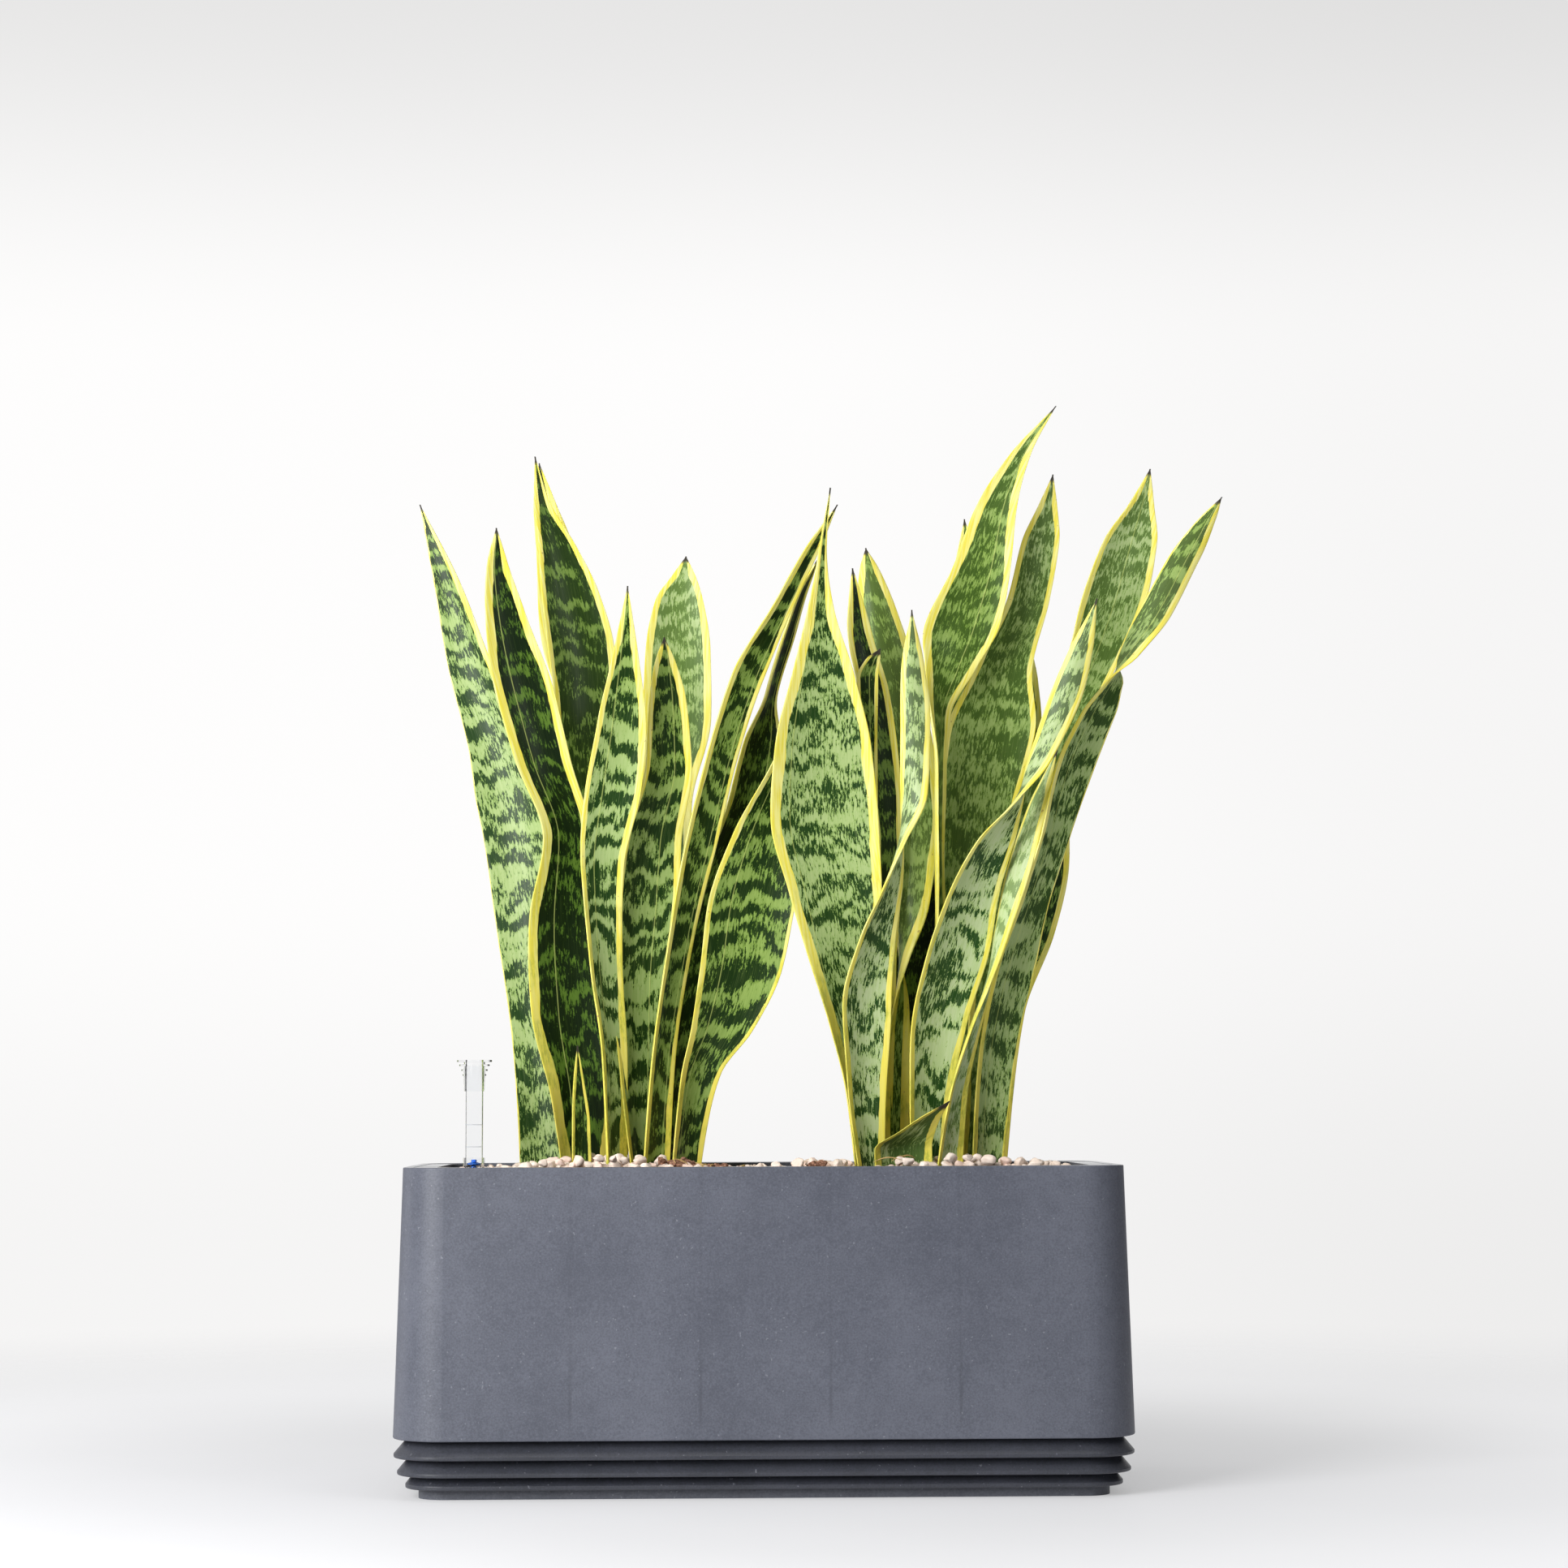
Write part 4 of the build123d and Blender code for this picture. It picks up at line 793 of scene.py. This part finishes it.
def ball(steps):
    """A unit ball of triangles, as arrays."""
    mesh = bmesh.new()
    bmesh.ops.create_icosphere(mesh, subdivisions=steps, radius=1.0)
    mesh.verts.ensure_lookup_table()
    points = np.array([v.co for v in mesh.verts])
    faces = np.array([[v.index for v in f.verts] for f in mesh.faces])
    mesh.free()
    return points, faces


def stone(rng, size):
    """A broken pebble: a subdivided ball, squashed, turned, and cut by a few flats."""
    points, faces = BALL
    turn = Matrix.Rotation(rng.uniform(0, 6.28), 3, "Z") @ Matrix.Rotation(rng.uniform(-0.5, 0.5), 3, "X")
    stretch = np.array((rng.uniform(0.85, 1.15), rng.uniform(0.75, 1.0), rng.uniform(0.62, 0.85)))
    shape = points.copy()
    for _ in range(STONE_FLATS):
        normal = np.array([rng.gauss(0, 1) for _ in range(3)])
        normal /= np.linalg.norm(normal)
        reach = shape @ normal
        limit = rng.uniform(0.52, 0.80)
        shape -= np.outer(np.clip(reach - limit, 0, None) * 0.95, normal)
    shift = Vector([rng.uniform(0, 50) for _ in range(3)])
    rough = np.array([noise.noise(Vector(p) * 2.6 + shift) for p in points])
    shape *= (1 + 0.10 * rough)[:, None]
    return (shape * stretch) @ np.array(turn).T * size / 2, faces


def pebble_places(rng):
    """Seeded layers of places, each kept clear of its neighbours, blades and gauge."""
    feet = blade_feet()
    placed = []
    for tries, closeness, lift in PEBBLE_LAYERS:
        upper = lift > 0
        mine = []
        for _ in range(tries):
            size = rng.triangular(*PEBBLE_SIZES)
            x = rng.uniform(-OPENING_LENGTH / 2, OPENING_LENGTH / 2)
            y = rng.uniform(-OPENING_DEPTH / 2, OPENING_DEPTH / 2)
            if not in_opening(x, y, size * 0.55) or not clear_of(feet, x, y, size * 0.5):
                continue
            if upper and noise.noise(Vector((x * 30, y * 30, 9.0))) < 0.02:
                continue  # the upper layer lies in patches
            near = size * closeness
            if any(abs(x - a) < near and abs(y - b) < near and math.hypot(x - a, y - b) < near
                   for a, b, _, _ in mine):
                continue
            mine.append((x, y, mulch_height(x, y) + lift - size * PEBBLE_SINK, size))
        placed += mine
    return placed


def scatter_pebbles(material):
    rng = random.Random(41)
    sides = ("left", "middle", "right")
    groups = {side: [] for side in sides}
    for place in pebble_places(rng):
        third = int((place[0] / OPENING_LENGTH + 0.5) * 3)
        groups[sides[min(2, third)]].append(place)
    for side, group in groups.items():
        points, faces, tints = [], [], []
        for x, y, z, size in group:
            shape, its_faces = stone(rng, size)
            gather(points, faces, shape + np.array((x, y, z)), its_faces)
            tints += [rng.random()] * len(shape)
        replaced = ("pebble_mulch",) if side == "left" else ()
        piece = add_piece("pebbles_" + side, points, faces, material, "liner", "pebbles", replaced)
        set_attribute(piece, "tint", tints)


def outline(length, depth, corner, per_corner=7, per_side=24):
    """Points round a rounded rectangle, anticlockwise, as an array of x, y."""
    half_x, half_y = length / 2 - corner, depth / 2 - corner
    points = []
    corners = ((half_x, half_y), (-half_x, half_y), (-half_x, -half_y), (half_x, -half_y))
    for number, (x, y) in enumerate(corners):
        for k in range(per_corner + 1):
            angle = math.pi / 2 * (number + k / per_corner)
            points.append((x + corner * math.cos(angle), y + corner * math.sin(angle)))
        next_x, next_y = corners[(number + 1) % 4]
        start, side = np.array(points[-1]), np.array((next_x - x, next_y - y))
        points += [tuple(start + side * k / per_side) for k in range(1, per_side)]
    return np.array(points)


def bore_for_gauge(soil, floor):
    """Take the mix away where the gauge's guide pipe and its grommet pass through."""
    below, above = floor - 0.01, 0.30
    steps = ((GROMMET_ROOM, below), (GROMMET_ROOM, GROMMET_TOP), (PIPE_ROOM, GROMMET_TOP + 0.001),
             (PIPE_ROOM, above))
    rings = [circle(GAUGE_X, GAUGE_Y, radius, height, 40) for radius, height in steps]
    cutter = new_object("gauge_bore", *skin(rings))
    cut = soil.modifiers.new("gauge_bore", "BOOLEAN")
    cut.operation = "DIFFERENCE"
    cut.solver = "EXACT"
    cut.object = cutter
    bpy.context.view_layer.update()
    bored = bpy.data.meshes.new_from_object(soil.evaluated_get(bpy.context.evaluated_depsgraph_get()))
    soil.modifiers.clear()
    soil.data = bored
    bpy.data.objects.remove(cutter)


def soil_mix(material):
    """The potting mix in the liner, with a rough top, and its two cores in the baskets."""
    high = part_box("potting_soil")[1]
    liner_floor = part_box("inner_liner")[0].z + LINER_FLOOR
    levels = []
    for height, share in ((liner_floor, 0.0), (liner_floor + 0.05, 0.32), (high.z - 0.004, 1.0)):
        draw_in = 2 * (LINER_DRAFT * (1 - share) + 0.0008)
        ring = outline(OPENING_LENGTH - draw_in, OPENING_DEPTH - draw_in, OPENING_CORNER)
        levels.append([(x, y, height) for x, y in ring])
    rim = np.array(levels[-1])
    for share in np.linspace(0.985, 0.03, 42):
        inner = [(x * share, y * share) for x, y, _ in rim]
        levels.append([
            (x, y, mulch_height(x, y) - MIX_DEPTH + crumbly(x, y, 120, 0.0022)) for x, y in inner
        ])
    soil = add_piece("soil_mix", *skin(levels), material, "liner", "soil", ("potting_soil",))
    bore_for_gauge(soil, liner_floor)
    for side in ("left", "right"):
        low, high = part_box("wick_basket_" + side)
        centre = (low.x + high.x) / 2
        levels = []
        for share in np.linspace(0, 1, 26):
            height = low.z + 0.0024 + share * (liner_floor - low.z - 0.002)
            grow = 2 * BASKET_DRAFT * share
            ring = outline(
                high.x - low.x - BASKET_TRIM + grow, high.y - low.y - BASKET_TRIM + grow, 0.008, 4, 10,
            )
            level = []
            for x, y in ring:
                dent = 1 - abs(crumbly(x + height * 2.3, y - height * 3.1, 150, 0.016))
                level.append((centre + x * dent, y * dent, height))
            levels.append(level)
        add_piece("soil_core_" + side, *skin(levels), material, "liner", "soil")


def crumbs(material):
    """Loose brown lumps of mix that lie on the pebbles beside the plants."""
    rng = random.Random(7)
    feet = blade_feet()
    points, faces = [], []
    for centre_x, centre_y, reach, count in CRUMB_HEAPS:
        for _ in range(count):
            x, y = rng.gauss(centre_x, reach), rng.gauss(centre_y, reach * 0.45)
            size = rng.triangular(*CRUMB_SIZES)
            if not in_opening(x, y, size) or not clear_of(feet, x, y, size * 0.4):
                continue
            near = math.exp(-(((x - centre_x) / reach) ** 2) - ((y - centre_y) / (reach * 0.45)) ** 2)
            z = mulch_height(x, y) + 0.001 + 0.6 * reach * near * rng.random()
            shape, its_faces = stone(rng, size)
            gather(points, faces, shape + np.array((x, y, z)), its_faces)
    add_piece("soil_crumbs", points, faces, material, "liner", "soil")


def thread(path, radius, sides=6):
    """A round thread along a list of points, thinner to its ends."""
    path = [Vector(p) for p in path]
    levels = []
    for i, point in enumerate(path):
        ahead = (path[min(i + 1, len(path) - 1)] - path[max(i - 1, 0)]).normalized()
        side = ahead.cross(Vector((0, 0, 1))).normalized()
        up = side.cross(ahead)
        share = i / (len(path) - 1)
        r = radius * (0.35 + 0.65 * math.sin(math.pi * share))
        levels.append([
            point + (side * math.cos(a) + up * math.sin(a)) * r
            for a in (math.tau * k / sides for k in range(sides))
        ])
    return skin(levels)


def root_threads(material):
    """Thin pale roots that curl over the pebbles where the mix comes through."""
    rng = random.Random(23)
    points, faces = [], []
    for centre_x, centre_y, count in ROOT_PLACES:
        for _ in range(count):
            x, y = rng.gauss(centre_x, 0.009), rng.gauss(centre_y, 0.005)
            heading = rng.uniform(0, math.tau)
            path = []
            for k in range(ROOT_STEPS):
                heading += rng.uniform(-0.5, 0.5)
                x += 0.0022 * math.cos(heading)
                y += 0.0014 * math.sin(heading)
                lift = 0.003 * math.sin(math.pi * k / (ROOT_STEPS - 1))
                path.append((x, y, mulch_height(x, y) + 0.003 + lift))
            gather(points, faces, *thread(path, ROOT_RADIUS))
    add_piece("root_threads", points, faces, material, "liner", "soil")


def level_lines(material):
    """Two fine level lines moulded half round the gauge tube, above the low mark."""
    low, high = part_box("gauge_tube")
    centre_x, centre_y = (low.x + high.x) / 2, (low.y + high.y) / 2
    radius = (high.x - low.x) / 2
    points, faces = [], []
    for height in LEVEL_LINES:
        levels = []
        for k in range(LINE_STEPS + 1):
            angle = math.pi * (LINE_START + LINE_TURN * k / LINE_STEPS)
            levels.append([
                (centre_x + (radius + out) * math.cos(angle), centre_y + (radius + out) * math.sin(angle),
                 height + up)
                for out, up in LINE_SECTION
            ])
        gather(points, faces, *skin(levels))
    add_piece("gauge_level_lines", points, faces, material, "gauge", "clear_plastic", smooth=False)


# ---- floor, world, lights and camera ----
def pale_floor():
    """A pale disc that fades into the background far from the planter. It glows by itself, which is
    painted light, and less near the planter, which is painted shade round its foot.
    """
    look = Surface("studio_floor", 0.7, Specular_IOR_Level=0.1, Emission_Color=(1.0, 1.0, 1.0))
    where, (x, y, _) = look.place()
    dull, pale = colour(172, 172, 175), colour(180, 180, 183)
    look.set("Base Color", look.mix(look.noise(where, 3.0, 2.0), dull, pale))
    away = look.math("SQRT", look.plus(look.times(x, x), look.times(y, y)))
    look.set("Alpha", look.remap(away, *FLOOR_FADE))
    # painted light: the floor's own glow, weaker near the planter as painted shade and a little stronger
    # to the right
    glow = look.times(look.remap(away, *FLOOR_AWAY), look.remap(x, *FLOOR_GLOW))
    look.set("Emission Strength", glow)
    disc = circle(0.0, 0.0, FLOOR_RADIUS, 0.0, FLOOR_SIDES)
    floor = new_object("studio_floor", disc, [range(FLOOR_SIDES)])
    floor.data.materials.append(look.material)


def studio_world():
    """Near white all round, with a brighter glow behind the planter."""
    world = bpy.data.worlds.new("studio")
    bpy.context.scene.world = world
    world.use_nodes = True
    sky = Nodes(world.node_tree)
    direction = sky.node("TexCoord").outputs["Generated"]
    across, _, up = sky.split(direction)

    def towards(way):
        made = sky.node("VectorMath", operation="DOT_PRODUCT")
        sky.feed(made.inputs[0], direction)
        sky.feed(made.inputs[1], Vector(way).normalized())
        return made.outputs["Value"]

    # the paper is brightest at mid height, dimmer low down, at the top and to the right
    backdrop = sky.times(sky.remap(up, *BACK_HIGH), sky.remap(up, *BACK_LOW))
    backdrop = sky.times(backdrop, sky.remap(across, *BACK_RIGHT))
    # past the edge of the paper the clear gauge bends light in from a dark room
    rays = sky.node("LightPath").outputs
    edge = sky.larger(sky.remap(towards(BACK_WAY), *BACK_EDGE), rays["Is Camera Ray"])
    seen = sky.node("Background")
    sky.feed(seen.inputs["Color"], BACK_TINT)
    sky.feed(seen.inputs["Strength"], sky.times(backdrop, edge))
    # the room itself lights the planter mostly from behind and from the left
    lit = sky.node("Background")
    room, wall = sky.remap(towards(ROOM_WAY), *ROOM_FILL), sky.remap(towards(BACK_WAY), *BACK_WALL)
    sky.feed(lit.inputs["Strength"], sky.larger(room, wall))
    pick = sky.node("MixShader")
    straight = sky.larger(rays["Is Camera Ray"], rays["Is Transmission Ray"])
    for socket, given in zip(pick.inputs, (straight, lit.outputs[0], seen.outputs[0])):
        sky.feed(socket, given)
    sky.feed(sky.node("OutputWorld").inputs["Surface"], pick.outputs[0])


def area_light(name, place, aim, size, power):
    data = bpy.data.lights.new(name, "AREA")
    data.shape = "RECTANGLE"
    data.size, data.size_y = size
    data.energy = power
    lamp = bpy.data.objects.new(name, data)
    lamp.location = place
    lamp.rotation_euler = (Vector(aim) - Vector(place)).to_track_quat("-Z", "Y").to_euler()
    bpy.context.scene.collection.objects.link(lamp)


def camera():
    data = bpy.data.cameras.new("camera")
    data.lens, data.sensor_width = CAMERA_LENS, CAMERA_SENSOR
    data.clip_end = 50.0
    turn, pitch, roll = (math.radians(angle) for angle in CAMERA_ANGLES)
    ahead = Vector((math.sin(turn) * math.cos(pitch), math.cos(turn) * math.cos(pitch), math.sin(pitch)))
    right = ahead.cross(Vector((0, 0, 1))).normalized()
    up = right.cross(ahead)
    rolled = right * math.cos(roll) + up * math.sin(roll)
    risen = up * math.cos(roll) - right * math.sin(roll)
    made = bpy.data.objects.new("camera", data)
    made.matrix_world = Matrix((rolled, risen, -ahead)).transposed().to_4x4()
    made.location = CAMERA_PLACE
    bpy.context.scene.collection.objects.link(made)
    bpy.context.scene.camera = made


# ---- the planter ----
looks = (
    (moulded_plastic("shell_plastic", colour(73, 76, 86), colour(93, 96, 107), 0.44, marks=True),
     ("outer_shell",)),
    (moulded_plastic("tub_plastic", colour(72, 74, 82), colour(90, 93, 102), 0.5), ("reservoir_tub",)),
    # the louvre rings are grey plastic like the shell's, painted darker: painted shade for their place
    # under the shell's lower edge
    (moulded_plastic("louvre_plastic_painted_shade", colour(46, 48, 54), colour(61, 63, 72), 0.40),
     ("louvre_ring_lower", "louvre_ring_middle", "louvre_ring_upper")),
    (moulded_plastic("liner_plastic", colour(64, 67, 77), colour(80, 83, 94), 0.46), ("inner_liner",)),
    (speckled("black_plastic", colour(22, 22, 24), colour(40, 40, 43), 0.5, 900.0, 0.00006),
     ("drain_plug", "wick_basket_left", "wick_basket_right", "support_legs", "gauge_foot")),
    (speckled("seal_rubber", colour(16, 16, 16), colour(30, 30, 30), 0.75, 1200.0, 0.00005),
     ("drain_plug_seal", "gauge_grommet")),
    (clear_plastic("gauge_clear", 0.01), ("gauge_guide_pipe", "gauge_tube")),
    (clear_plastic("collar_clear", 0.06), ("gauge_collar",)),
    (speckled("pointer_plastic", colour(24, 92, 204), colour(48, 124, 232), 0.3, 700.0, 0.00002),
     ("float_pointer",)),
    (speckled("rod_plastic", colour(220, 222, 224), colour(240, 241, 242), 0.45, 700.0, 0.00002),
     ("float_rod",)),
    (speckled("float_foam", colour(214, 214, 208), colour(240, 240, 236), 0.85, 1500.0, 0.00012),
     ("float_body",)),
)
for material, nodes in looks:
    for node in nodes:
        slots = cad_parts[node].data.materials
        slots.clear()
        slots.append(material)

BALL = ball(3)
leaf = leaf_surface()
plant("snake_plant_left_leaves", LEFT_PLANT, LEFT_LOOKS, "snake_plant_left", leaf)
plant("snake_plant_right_leaves", RIGHT_PLANT, RIGHT_LOOKS, "snake_plant_right", leaf)
mix = soil_surface()
soil_mix(mix)
scatter_pebbles(stone_surface())
crumbs(mix)
root_threads(root_surface())
level_lines(speckled(
    "level_line_grey", colour(130, 136, 146), colour(160, 166, 174), 0.5, 900.0, 0.00001))

camera()
pale_floor()
studio_world()
for name, (place, aim, size, power) in LAMPS.items():
    area_light(name, place, aim, size, power)
bpy.context.scene.view_settings.view_transform = "Standard"
